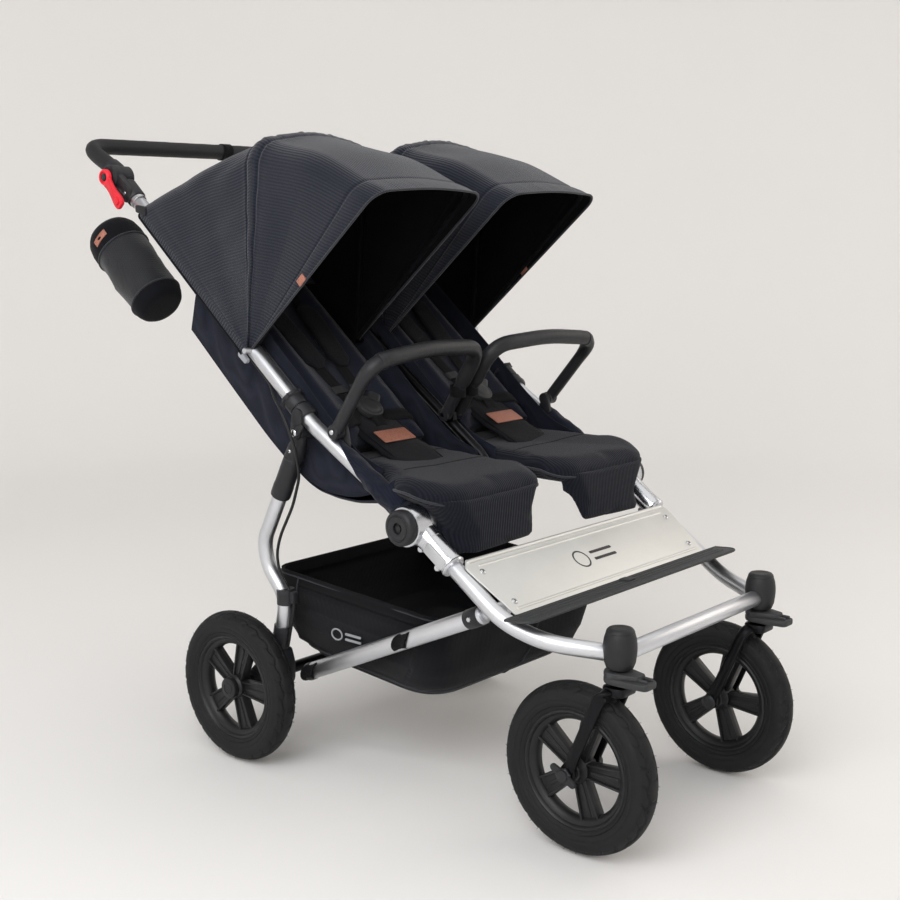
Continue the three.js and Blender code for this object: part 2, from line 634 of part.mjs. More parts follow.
// A hood is a curved sheet with two side walls, stretched over bows that turn about the canopy pivot.
function hood({ inner, outer, wall, hub, bows }) {
  const arch = ({ radius, drop }, grow) => {
    const r = radius + grow;
    const i = inner - grow;
    const o = outer + grow;
    return [[o, hub], [o, r - drop], [o - drop * 0.3, r - drop * 0.36], [o - drop, r - drop * 0.12],
      [(i + o) / 2, r], [i + drop, r - drop * 0.12], [i + drop * 0.3, r - drop * 0.36], [i, r - drop], [i, hub]];
  };
  const rings = bows.map((bow) => {
    const a = THREE.MathUtils.degToRad(bow.angle);
    return [...arch(bow, 0), ...arch(bow, -wall).reverse()].map(([x, r]) => at(x, towards(CANOPY_PIVOT, a, r)));
  });
  const { points, faces, count } = loft(rings);
  // The end caps are strips between the outer and the inner arch.
  const last = (rings.length - 1) * count;
  for (let i = 0; i < count / 2 - 1; i += 1) {
    const a = i + 1;
    const p = count - 1 - i;
    const q = count - 2 - i;
    faces.push(i, p, a, a, p, q);
    faces.push(last + i, last + a, last + p, last + a, last + q, last + p);
  }
  const g = new THREE.BufferGeometry();
  g.setAttribute('position', new THREE.BufferAttribute(new Float32Array(points), 3));
  g.setIndex(faces);
  return closed(g);
}

const tubeRoom = bar(upperCorners, TUBE.radius + 1, UPPER_BEND);
addPair('canopy_rear', cut(hood(CANOPY), tubeRoom), FABRIC);
addPair('canopy_front', hood(VISOR), FABRIC);

function bumperBar() {
  const outerX = 274;
  const innerX = 16;
  const bend = bar([at(outerX, BAR_PIVOT), [outerX + 12, -132, 702], [150, -130, 714], [innerX, -118, 706],
    at(innerX, BAR_PIVOT)], BAR_RADIUS, 40);
  const eyes = [[264, 284], [10, 24]].map(([a, b]) => pin(BAR_PIVOT, a, b, 11));
  const room = pin(BAR_PIVOT, 240, 263.4, 30);
  return cut(joined(bend, ...eyes), room, pin(BAR_PIVOT, 0, 300, 4 + FIT));
}

addPair('bumper_bar', bumperBar(), FOAM);

const BOTTLE = { x: -264, radius: 47, top: [543, 881], bottom: [401.5, 757.5] };

function bottleHolder() {
  const { x, radius, top, bottom } = BOTTLE;
  const body = bar([at(x, top), at(x, bottom)], radius, 0, 16);
  const lean = angleOf(bottom, top);
  const well = bar([at(x, towards(bottom, lean, 8)), at(x, towards(top, lean, 20))], radius - 3, 0, 16);
  return cut(body, well);
}

add('bottle_holder', bottleHolder(), FABRIC);

export default stroller;
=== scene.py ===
"""Looks of the side-by-side double stroller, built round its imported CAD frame.

Lengths are design millimetres (front -Y, +X the pusher's left, +Z up) and become metres in place().
"""

import json
import math

import bmesh
import bpy
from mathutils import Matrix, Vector


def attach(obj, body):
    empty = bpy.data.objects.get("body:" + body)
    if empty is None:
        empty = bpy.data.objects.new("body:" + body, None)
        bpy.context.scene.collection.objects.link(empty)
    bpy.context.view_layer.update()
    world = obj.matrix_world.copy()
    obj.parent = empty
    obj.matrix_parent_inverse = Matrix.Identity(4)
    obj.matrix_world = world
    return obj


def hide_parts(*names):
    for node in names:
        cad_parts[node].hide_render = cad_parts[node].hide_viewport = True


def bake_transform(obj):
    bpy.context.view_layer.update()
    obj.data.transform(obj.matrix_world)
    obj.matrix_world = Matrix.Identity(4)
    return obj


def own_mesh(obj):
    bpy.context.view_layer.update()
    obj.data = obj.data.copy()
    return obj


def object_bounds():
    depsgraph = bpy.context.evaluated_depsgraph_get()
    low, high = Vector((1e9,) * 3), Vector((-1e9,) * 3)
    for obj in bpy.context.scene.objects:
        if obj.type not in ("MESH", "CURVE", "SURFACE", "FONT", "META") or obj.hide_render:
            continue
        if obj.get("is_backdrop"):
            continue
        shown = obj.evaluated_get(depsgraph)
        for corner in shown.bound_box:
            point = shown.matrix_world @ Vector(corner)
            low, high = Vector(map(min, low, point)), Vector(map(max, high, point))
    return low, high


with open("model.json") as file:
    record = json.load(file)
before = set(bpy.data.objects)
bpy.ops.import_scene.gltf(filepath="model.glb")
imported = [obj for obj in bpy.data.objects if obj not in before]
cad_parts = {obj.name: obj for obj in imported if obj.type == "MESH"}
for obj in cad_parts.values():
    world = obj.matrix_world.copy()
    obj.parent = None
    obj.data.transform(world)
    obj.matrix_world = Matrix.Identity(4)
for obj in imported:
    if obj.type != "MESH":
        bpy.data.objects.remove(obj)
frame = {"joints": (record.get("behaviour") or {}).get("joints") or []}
FOLD = next(j for j in frame["joints"] if j["name"] == "fold")

MM = 0.001
SIDES = (("left", 1), ("right", -1))
HUB = (-205, 463)
SHIFT_Y = FOLD["pos_m"][1] / MM - HUB[0]


def place(point):
    x, y, z = point
    return Vector((x, y + SHIFT_Y, z)) * MM


def linked(name, data):
    """A new object for the data, in the scene."""
    made = bpy.data.objects.new(name, data)
    bpy.context.scene.collection.objects.link(made)
    return made


def aim(thing, start, end):
    """Places a camera or light at start and turns it towards end."""
    thing.location = place(start)
    thing.rotation_mode = "QUATERNION"
    thing.rotation_quaternion = (place(end) - place(start)).to_track_quat("-Z", "Y")


def write_size(key, known):
    low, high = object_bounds()
    known[key] = [list(low), list(high)]
    return known


SIZES = write_size("frame", {})

# ------------------------------------------------------------------ camera
CAMERA_AT = (-1732.9, -1550.5, 911.4)
CAMERA_TO = (258.7, 188.7, 464.8)
LENS_MM, SENSOR_MM = 54.5, 36


def make_camera():
    data = bpy.data.cameras.new("camera")
    data.lens = LENS_MM
    data.sensor_width = SENSOR_MM
    camera = linked("camera", data)
    aim(camera, CAMERA_AT, CAMERA_TO)
    bpy.context.scene.camera = camera


make_camera()

# ------------------------------------------------------------------ design points, side view (y, z)
LEG_PIVOT = (40, 578)
LOWER_PIVOT = (-346, 353)
OPEN_PIVOT = (84, 157)
TUBE_X = 268
TUBE_R = 12.5
TUBE_BEND = (20, 593)
UPPER_SLOPE = math.atan(0.812)
HANDLE_PIVOT = (508, 985)
CANOPY_PIVOT = (150, 702)
BAR_PIVOT = (-42, 587)
FRONT_AXLE = (-462, 129)
REAR_AXLE = (185, 129)
FRONT_X = 200
REAR_X = 293
SWIVEL_Y = -527


def towards(start, angle, distance):
    return (start[0] + distance * math.cos(angle), start[1] + distance * math.sin(angle))


def angle_of(a, b):
    return math.atan2(b[1] - a[1], b[0] - a[0])


def at(x, point):
    return (x, point[0], point[1])


FRONT_DOWN = angle_of(HUB, (-385, 337))
LOWER_SLOPE = angle_of(HUB, TUBE_BEND)
HANDLE_RUN = math.dist(TUBE_BEND, HANDLE_PIVOT)


def tube_point(u):
    return towards(TUBE_BEND, UPPER_SLOPE, u)


def down(d):
    return towards(HUB, FRONT_DOWN, d)


# ------------------------------------------------------------------ mesh building
class Geo:
    """Points and their UV in design millimetres, faces, and a material slot for each face."""

    def __init__(self, points=(), faces=(), uv=None, slot=0):
        self.points = [tuple(p) for p in points]
        self.faces = [tuple(f) for f in faces]
        self.slots = [slot] * len(self.faces)
        self.uv = list(uv) if uv else [(p[0], p[1] + p[2]) for p in self.points]

    def add(self, *others):
        for other in others:
            base = len(self.points)
            self.points += other.points
            self.faces += [tuple(i + base for i in f) for f in other.faces]
            self.slots += other.slots
            self.uv += other.uv
        return self


def merged(*geos):
    return Geo().add(*geos)


def build(name, geo, materials, g=1, sharp=38):
    """One object from geo, with x times g, so that g = -1 gives the right-hand piece."""
    mesh = bpy.data.meshes.new(name)
    mesh.from_pydata([place((x * g, y, z)) for x, y, z in geo.points], [], geo.faces)
    layer = mesh.uv_layers.new(name="cloth")
    for loop in mesh.loops:
        u, v = geo.uv[loop.vertex_index]
        layer.data[loop.index].uv = (u * MM, v * MM)
    for polygon, slot in zip(mesh.polygons, geo.slots):
        polygon.material_index = slot
        polygon.use_smooth = True
    bm = bmesh.new()
    bm.from_mesh(mesh)
    bmesh.ops.remove_doubles(bm, verts=bm.verts, dist=2e-6)
    bmesh.ops.recalc_face_normals(bm, faces=bm.faces)
    bm.to_mesh(mesh)
    bm.free()
    mesh.set_sharp_from_angle(angle=math.radians(sharp))
    for m in materials if isinstance(materials, (list, tuple)) else [materials]:
        mesh.materials.append(m)
    return linked(name, mesh)


def wear(piece, body):
    """Lets the piece ride on a body."""
    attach(piece, body)
    return piece


def extra(name, body, slot, geo, materials, g=1, sharp=38):
    """A small piece that stands for no CAD node."""
    return wear(build(name, geo, materials, g, sharp), body)


def dress(node, body, slot, geo, materials, g=1, sharp=38):
    """The piece that is shown for a CAD node, riding on its body."""
    piece = extra(f"{node}_look", body, slot, geo, materials, g, sharp)
    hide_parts(node)
    return piece


def rounded(corners, bend, turns=8):
    """The corners as a path whose inner corners are rounded off."""
    at_ = [Vector(c) for c in corners]
    path = [at_[0]]
    for a, b, c in zip(at_, at_[1:], at_[2:]):
        reach = min(bend, (a - b).length * 0.45, (c - b).length * 0.45)
        p = b + (a - b).normalized() * reach
        q = b + (c - b).normalized() * reach
        for i in range(turns + 1):
            t = i / turns
            path.append(p.lerp(b, t).lerp(b.lerp(q, t), t))
    path.append(at_[-1])
    return path


def resampled(path, step):
    """The same path with a point at every step or closer."""
    points = [Vector(p) for p in path]
    made = [points[0]]
    for a, b in zip(points, points[1:]):
        count = max(1, math.ceil((b - a).length / step))
        made += [a.lerp(b, i / count) for i in range(1, count + 1)]
    return made


def oval(a, b=None, sides=24):
    b = a if b is None else b
    return [(a * math.cos(2 * math.pi * i / sides), b * math.sin(2 * math.pi * i / sides))
            for i in range(sides)]


def strap(width, thickness):
    """Section of a webbing strap: flat, with thin rounded edges."""
    w, t = width / 2, thickness / 2
    return [(-w, -t * 0.4), (-w + t, -t), (-w / 2, -t), (0, -t), (w / 2, -t), (w - t, -t), (w, -t * 0.4),
            (w, t * 0.4), (w - t, t), (w / 2, t), (0, t), (-w / 2, t), (-w + t, t), (-w, t * 0.4)]


def sweep(path, section, side=None, grow=None, slot=0, loop=False):
    """The section carried along the path. side is where its first axis faces; grow(i) scales ring i."""
    points = [Vector(p) for p in path]
    count = len(points)
    rings, uv = [], []
    run = 0.0
    across = None
    girth = sum(math.dist(section[i - 1], section[i]) for i in range(len(section)))
    for i, here in enumerate(points):
        before = points[i - 1] if i or loop else here
        after = points[(i + 1) % count] if i < count - 1 or loop else here
        tangent = (after - before).normalized()
        if side is not None:
            across = Vector(side(i) if callable(side) else side)
        elif across is None:
            across = Vector((1, 0, 0)) if abs(tangent.x) < 0.9 else Vector((0, 0, 1))
        across = (across - tangent * across.dot(tangent)).normalized()
        normal = tangent.cross(across)
        k = grow(i) if grow else 1
        run += (here - before).length if i else 0
        for j, (s, n) in enumerate(section):
            rings.append(here + across * (s * k) + normal * (n * k))
            uv.append((girth * j / len(section), run))
    m = len(section)
    faces = []
    for i in range(count if loop else count - 1):
        for j in range(m):
            a, b = i * m + j, i * m + (j + 1) % m
            c, d = ((i + 1) % count) * m + (j + 1) % m, ((i + 1) % count) * m + j
            faces.append((a, b, c, d))
    if not loop:
        faces += [tuple(range(m)), tuple(range((count - 1) * m, count * m))]
    return Geo(rings, faces, uv, slot)


def sleeve_along(points, radii, sides=32):
    """A round sleeve with its own radius at each point."""
    return sweep(points, oval(1, 1, sides), side=(1, 0, 0), grow=lambda i: radii[i])


def rod(corners, radius, bend=0, sides=24, slot=0, soft=1.2, grow=None):
    """A round bar with slightly rounded ends."""
    path = rounded(corners, bend)
    ends = []
    for end, inward in ((path[0], path[1]), (path[-1], path[-2])):
        ends.append(end.lerp(inward, min(0.4, soft / max((inward - end).length, 1e-6))))
    full = [path[0], ends[0]] + path[1:-1] + [ends[1], path[-1]]
    last = len(full) - 1

    def size(i):
        k = 1 - soft * 0.5 / radius if i in (0, last) else 1
        return k * (grow(i / last) if grow else 1)

    return sweep(full, oval(radius, sides=sides), grow=size, slot=slot)


def lathe(profile, centre, axis=(1, 0, 0), segments=48, slot=0):
    """A body of revolution. profile is (distance along the axis, radius)."""
    n = Vector(axis).normalized()
    side = n.orthogonal().normalized()
    other = n.cross(side)
    c = Vector(centre)
    points, faces, uv = [], [], []
    m = len(profile)
    for i in range(segments):
        t = 2 * math.pi * i / segments
        out = side * math.cos(t) + other * math.sin(t)
        for h, r in profile:
            points.append(c + n * h + out * max(r, 0.0))
            uv.append((h + r, r * t))
    for i in range(segments):
        for j in range(m - 1):
            a, b = i * m + j, ((i + 1) % segments) * m + j
            faces.append((a, b, b + 1, a + 1))
    return Geo(points, faces, uv, slot)


def barrel(low, high, radius, bevel=1.5, hollow=None):
    """Profile of a turned disc or sleeve with rounded rims."""
    b = bevel
    rim = [(low, radius - b), (low + 0.3 * b, radius - 0.3 * b), (low + b, radius),
           (high - b, radius), (high - 0.3 * b, radius - 0.3 * b), (high, radius - b)]
    if hollow is None:
        return [(low, 0)] + rim + [(high, 0)]
    return [(low, hollow)] + rim + [(high, hollow), (low, hollow)]


def inset(outline, amount):
    """The outline, listed anticlockwise, moved inwards."""
    made = []
    for i, p in enumerate(outline):
        a, c = outline[i - 1], outline[(i + 1) % len(outline)]
        e = Vector((p[0] - a[0], p[1] - a[1])).normalized()
        f = Vector((c[0] - p[0], c[1] - p[1])).normalized()
        n = Vector((-(e.y + f.y), e.x + f.x))
        n = n.normalized() if n.length > 1e-6 else Vector((-e.y, e.x))
        k = amount / max(0.5, abs(n.x * -e.y + n.y * e.x))
        made.append((p[0] + n.x * k, p[1] + n.y * k))
    return made


def anticlockwise(outline):
    area = sum(a[0] * b[1] - b[0] * a[1] for a, b in zip(outline, outline[1:] + outline[:1]))
    return outline if area > 0 else outline[::-1]


def ring_faces(rings, m):
    """Faces between so many rings of m points each."""
    return [(k * m + i, k * m + (i + 1) % m, (k + 1) * m + (i + 1) % m, (k + 1) * m + i)
            for k in range(rings - 1) for i in range(m)]


def slab(outline, to3d, low, high, bevel=1.0, slot=0, layers=1):
    """An outline of (a, b) points made thick from low to high, edges rounded. to3d(a, b, h) places it."""
    line = anticlockwise(list(outline))
    b = min(bevel, (high - low) * 0.45)
    levels = [(low, b), (low + 0.3 * b, 0.3 * b)]
    levels += [(low + b + (high - low - 2 * b) * i / layers, 0) for i in range(layers + 1)]
    levels += [(high - 0.3 * b, 0.3 * b), (high, b)]
    points, uv = [], []
    for h, pull in levels:
        for a, c in inset(line, pull):
            points.append(to3d(a, c, h))
            uv.append((a, c))
    m = len(line)
    faces = [tuple(range(m)), tuple(range(m * (len(levels) - 1), m * len(levels)))]
    return Geo(points, faces + ring_faces(len(levels), m), uv, slot)


def side_view(a, b, h):
    return (h, a, b)


def corner_rounded(outline, bend, turns=6):
    """A closed outline with its corners rounded off. bend is one reach or one for each corner."""
    bends = bend if isinstance(bend, (list, tuple)) else [bend] * len(outline)
    made = []
    for i, p in enumerate(outline):
        p, a, c = Vector(p), Vector(outline[i - 1]), Vector(outline[(i + 1) % len(outline)])
        reach = min(bends[i], (a - p).length * 0.48, (c - p).length * 0.48)
        if reach <= 0:
            made.append(tuple(p))
            continue
        s, e = p + (a - p).normalized() * reach, p + (c - p).normalized() * reach
        for k in range(turns + 1):
            t = k / turns
            made.append(tuple(s.lerp(p, t).lerp(p.lerp(e, t), t)))
    return made


def link(a, b, radius_a, radius_b, turns=12):
    """Side view outline of a link with round ends."""
    along = angle_of(a, b)
    made = []
    for centre, radius, start in ((b, radius_b, along - math.pi / 2), (a, radius_a, along + math.pi / 2)):
        made += [towards(centre, start + math.pi * i / turns, radius) for i in range(turns + 1)]
    return made


def surface(f, us, vs, thickness, outer=0, inner=0, closed_u=False):
    """A sheet of cloth f(u, v) with a skin on both sides. uv is the run along each way."""
    nu, nv = len(us), len(vs)
    grid = [[Vector(f(u, v)) for v in vs] for u in us]
    points, uv = [], []
    runs = [[0.0] * nv for _ in us]
    lengths = [[0.0] * nv for _ in us]
    for i in range(nu):
        for j in range(nv):
            if i:
                runs[i][j] = runs[i - 1][j] + (grid[i][j] - grid[i - 1][j]).length
            if j:
                lengths[i][j] = lengths[i][j - 1] + (grid[i][j] - grid[i][j - 1]).length
    for i in range(nu):
        for j in range(nv):
            points.append(grid[i][j])
            uv.append((runs[i][j], lengths[i][j]))
    for i in range(nu):
        for j in range(nv):
            a = grid[(i + 1) % nu][j] if closed_u else grid[min(i + 1, nu - 1)][j]
            b = grid[i - 1][j] if closed_u or i else grid[0][j]
            du = a - b
            dv = grid[i][min(j + 1, nv - 1)] - grid[i][max(j - 1, 0)]
            n = du.cross(dv)
            n = n.normalized() if n.length > 1e-9 else Vector((0, 0, 1))
            points.append(grid[i][j] + n * thickness)
            uv.append((runs[i][j], lengths[i][j]))
    faces, slots = [], []
    base = nu * nv
    spans = nu if closed_u else nu - 1
    for i in range(spans):
        for j in range(nv - 1):
            a, b = i * nv + j, ((i + 1) % nu) * nv + j
            faces.append((a, b, b + 1, a + 1))
            slots.append(outer)
            faces.append((base + a, base + a + 1, base + b + 1, base + b))
            slots.append(inner)
    for i in range(spans):
        for j in (0, nv - 1):
            a, b = i * nv + j, ((i + 1) % nu) * nv + j
            faces.append((a, b, base + b, base + a))
            slots.append(outer)
    if not closed_u:
        for i in (0, nu - 1):
            for j in range(nv - 1):
                a = i * nv + j
                faces.append((a, a + 1, base + a + 1, base + a))
                slots.append(outer)
    made = Geo(points, faces, uv)
    made.slots = slots
    return made


def spread(low, high, count):
    return [low + (high - low) * i / (count - 1) for i in range(count)]


def full_turn(count):
    return spread(0, 2 * math.pi, count + 1)[:-1]


def smooth(t):
    t = min(1.0, max(0.0, t))
    return t * t * (3 - 2 * t)


def along_table(table, t):
    """Smooth value between (position, value) pairs."""
    if t <= table[0][0]:
        return table[0][1]
    for (a, va), (b, vb) in zip(table, table[1:]):
        if t <= b:
            return va + (vb - va) * smooth((t - a) / (b - a))
    return table[-1][1]


# ------------------------------------------------------------------ materials
class Shader:
    """Small helper that lays out the nodes of one material."""

    def __init__(self, name):
        self.material = bpy.data.materials.new(name)
        self.material.use_nodes = True
        self.tree = self.material.node_tree
        self.out = self.tree.nodes["Principled BSDF"]
        coordinates = self.tree.nodes.new("ShaderNodeTexCoord")
        self.object = coordinates.outputs["Object"]
        self.uv = coordinates.outputs["UV"]

    def plug(self, socket, value):
        if isinstance(value, bpy.types.NodeSocket):
            self.tree.links.new(value, socket)
        else:
            socket.default_value = value

    def node(self, kind, inputs, output=0, **settings):
        made = self.tree.nodes.new(kind)
        for key, value in settings.items():
            setattr(made, key, value)
        for key, value in inputs.items():
            self.plug(made.inputs[key], value)
        return made.outputs[output]

    def maths(self, operation, a, b=0.0):
        return self.node("ShaderNodeMath", {0: a, 1: b}, operation=operation)

    def noise(self, scale, detail=3.0, vector=None, rough=0.55):
        return self.node("ShaderNodeTexNoise", {"Vector": vector or self.object, "Scale": scale,
                                                "Detail": detail, "Roughness": rough})

    def stretched(self, scale, vector=None):
        return self.node("ShaderNodeMapping", {"Vector": vector or self.object, "Scale": scale})

    def between(self, value, low, high):
        return self.node("ShaderNodeMapRange", {"Value": value, "To Min": low, "To Max": high})

    def mix(self, fac, a, b):
        made = self.tree.nodes.new("ShaderNodeMix")
        made.data_type = "RGBA"
        self.plug(made.inputs[0], fac)
        self.plug(made.inputs[6], a)
        self.plug(made.inputs[7], b)
        return made.outputs[2]

    def wave(self, coordinate, spacing):
        """0 to 1 across lines that are spacing metres apart."""
        turned = self.maths("MULTIPLY", coordinate, 2 * math.pi / spacing)
        return self.node("ShaderNodeMath", {0: self.maths("SINE", turned), 1: 0.5, 2: 0.5},
                         operation="MULTIPLY_ADD")

    def part(self, vector, which):
        return self.node("ShaderNodeSeparateXYZ", {0: vector}, output=which)

    def done(self, colour, roughness, height, depth, metallic=0.0, **more):
        self.plug(self.out.inputs["Base Color"], colour)
        self.plug(self.out.inputs["Roughness"], roughness)
        self.plug(self.out.inputs["Metallic"], metallic)
        if not metallic:
            self.plug(self.out.inputs["Specular IOR Level"], 0.3)
        bump = self.node("ShaderNodeBump", {"Height": height, "Strength": 1.0, "Distance": depth})
        self.plug(self.out.inputs["Normal"], bump)
        for key, value in more.items():
            self.plug(self.out.inputs[key.replace("_", " ")], value)
        return self.material


def tint(r, g, b, k=1.0):
    return (r * k, g * k, b * k, 1)


def plastic(name, colour, roughness=0.45, grain=2600, depth=0.00006):
    """Moulded plastic: fine spark-erosion grain, faint flow marks and polished high spots."""
    s = Shader(name)
    fine = s.noise(grain, 2)
    slow = s.noise(35, 3)
    base = s.mix(slow, tint(*colour, 0.82), tint(*colour, 1.2))
    worn = s.node("ShaderNodeNewGeometry", {}, output="Pointiness")
    edge = s.maths("GREATER_THAN", worn, 0.56)
    base = s.mix(s.maths("MULTIPLY", edge, 0.3), base, tint(*colour, 2.0))
    rough = s.maths("ADD", s.between(fine, roughness - 0.05, roughness + 0.07), s.between(slow, -0.05, 0.05))
    return s.done(base, rough, fine, depth)


def metal(name, colour, roughness, brushed=(1, 1, 1), depth=0.00002, vary=0.06):
    """Metal with a directional grain and slow cloudy change in its polish."""
    s = Shader(name)
    grain = s.noise(1500, 2, s.stretched(brushed))
    cloud = s.noise(18, 3)
    base = s.mix(cloud, tint(*colour, 1 - vary), tint(*colour, 1 + vary))
    base = s.mix(s.maths("MULTIPLY", grain, 0.18), base, tint(*colour, 0.75))
    rough = s.maths("ADD", s.between(grain, roughness - 0.05, roughness + 0.06),
                    s.between(cloud, -0.04, 0.06))
    return s.done(base, rough, grain, depth, 1.0)


def cloth(name, colour, light, rib=0.0045, ribs_on="uv", depth=0.0007, weave=0.0014, sheen=0.25):
    """Woven cloth: ribs along one way, a fine cross weave, slubs and paler worn high spots; the rib crests
    are painted in the pale colour and the grooves in the dark one, a painted highlight and painted shade of
    the ribs.
    """
    s = Shader(name)
    place_ = s.uv if ribs_on == "uv" else s.object
    drift = s.between(s.noise(60, 2), -0.0006, 0.0006)
    along_ = s.maths("ADD", s.part(place_, 0), drift)
    across = s.part(place_, 1)
    line = s.wave(along_, rib)
    thread = s.wave(along_, weave)
    cross = s.wave(across, weave)
    woven = s.maths("MULTIPLY", thread, cross)
    slub = s.noise(420, 3)
    patch = s.noise(9, 3)
    # Painted highlight and painted shade of the ribs: crests pale, grooves dark, in step with the rib height.
    base = s.mix(s.maths("MULTIPLY", line, 0.75), tint(*colour), tint(*light))
    base = s.mix(s.maths("MULTIPLY", slub, 0.45), base, tint(*colour, 0.55))
    base = s.mix(s.maths("MULTIPLY", patch, 0.35), base, tint(*light, 0.8))
    height = s.maths("ADD", s.maths("MULTIPLY", line, 0.7),
                     s.maths("ADD", s.maths("MULTIPLY", woven, 0.22), s.maths("MULTIPLY", slub, 0.25)))
    rough = s.between(slub, 0.78, 0.98)
    return s.done(base, rough, height, depth, Sheen_Weight=sheen, Sheen_Roughness=0.5,
                  Specular_IOR_Level=0.08)


def webbing(name, colour):
    """Woven strap: a herringbone of fine diagonal threads."""
    s = Shader(name)
    u, v = s.part(s.uv, 0), s.part(s.uv, 1)
    fold = s.maths("PINGPONG", u, 0.004)
    line = s.wave(s.maths("ADD", fold, v), 0.0016)
    slub = s.noise(600, 2)
    base = s.mix(line, tint(*colour, 0.6), tint(*colour, 1.5))
    return s.done(base, s.between(slub, 0.65, 0.85), s.maths("ADD", line, s.maths("MULTIPLY", slub, 0.4)),
                  0.0003,
                  Sheen_Weight=0.02, Specular_IOR_Level=0.12)


def rubber(name, colour, roughness=0.62):
    """Dusty rubber: fine grain, lighter scuffs."""
    s = Shader(name)
    fine, slow = s.noise(1400, 3), s.noise(28, 4)
    base = s.mix(s.maths("MULTIPLY", slow, 0.6), tint(*colour, 0.8), tint(*colour, 1.5))
    base = s.mix(s.maths("MULTIPLY", fine, 0.3), base, tint(*colour, 0.6))
    rough = s.between(slow, roughness - 0.08, roughness + 0.14)
    return s.done(base, rough, fine, 0.0002)


def foam(name, colour):
    """Closed-cell foam: tiny cells, soft broad highlight."""
    s = Shader(name)
    cells = s.node("ShaderNodeTexVoronoi", {"Vector": s.object, "Scale": 900.0})
    slow = s.noise(22, 3)
    base = s.mix(slow, tint(*colour, 0.8), tint(*colour, 1.25))
    return s.done(base, s.between(slow, 0.48, 0.62), cells, 0.00015)


def leather(name, colour):
    """Leatherette: pebbled grain with smoother rubbed areas."""
    s = Shader(name)
    pebble = s.node("ShaderNodeTexVoronoi", {"Vector": s.object, "Scale": 520.0})
    slow = s.noise(30, 3)
    base = s.mix(slow, tint(*colour, 0.8), tint(*colour, 1.35))
    return s.done(base, s.between(slow, 0.36, 0.5), pebble, 0.00022)


def patch_leather(name, colour, dark):
    """Copper patch: pressed grain with darker crossed lines."""
    s = Shader(name)
    grain = s.noise(700, 4)
    slow = s.noise(90, 3)
    base = s.mix(s.maths("GREATER_THAN", grain, 0.56), tint(*colour), tint(*dark))
    base = s.mix(s.maths("MULTIPLY", slow, 0.4), base, tint(*colour, 1.3))
    return s.done(base, s.between(grain, 0.4, 0.6), grain, 0.0002, 0.35)


def mesh_cloth(name, colour, light):
    """Open net cloth of the bottle pouch: round holes in rows, not cut but painted dark as painted shade of
    the inside seen through them.
    """
    s = Shader(name)
    holes = s.node("ShaderNodeTexVoronoi", {"Vector": s.object, "Scale": 330.0, "Randomness": 0.15})
    hole_shade = s.maths("LESS_THAN", holes, 0.32)
    # Painted shade: the holes are darkened where the shaded inside would show through.
    base = s.mix(hole_shade, tint(*light), tint(*colour, 0.4))
    slow = s.noise(40, 3)
    base = s.mix(s.maths("MULTIPLY", slow, 0.4), base, tint(*light, 1.3))
    return s.done(base, s.between(slow, 0.6, 0.8), holes, 0.0008, Sheen_Weight=0.2)


# Navy of the canopy cloth, also the painted shade of its rib grooves; the paler navy is the painted highlight
# of the rib crests and the tone of its worn patches.
NAVY = (0.0062, 0.0075, 0.0135)
NAVY_CREST_HIGHLIGHT_AND_WEAR = (0.024, 0.0275, 0.044)

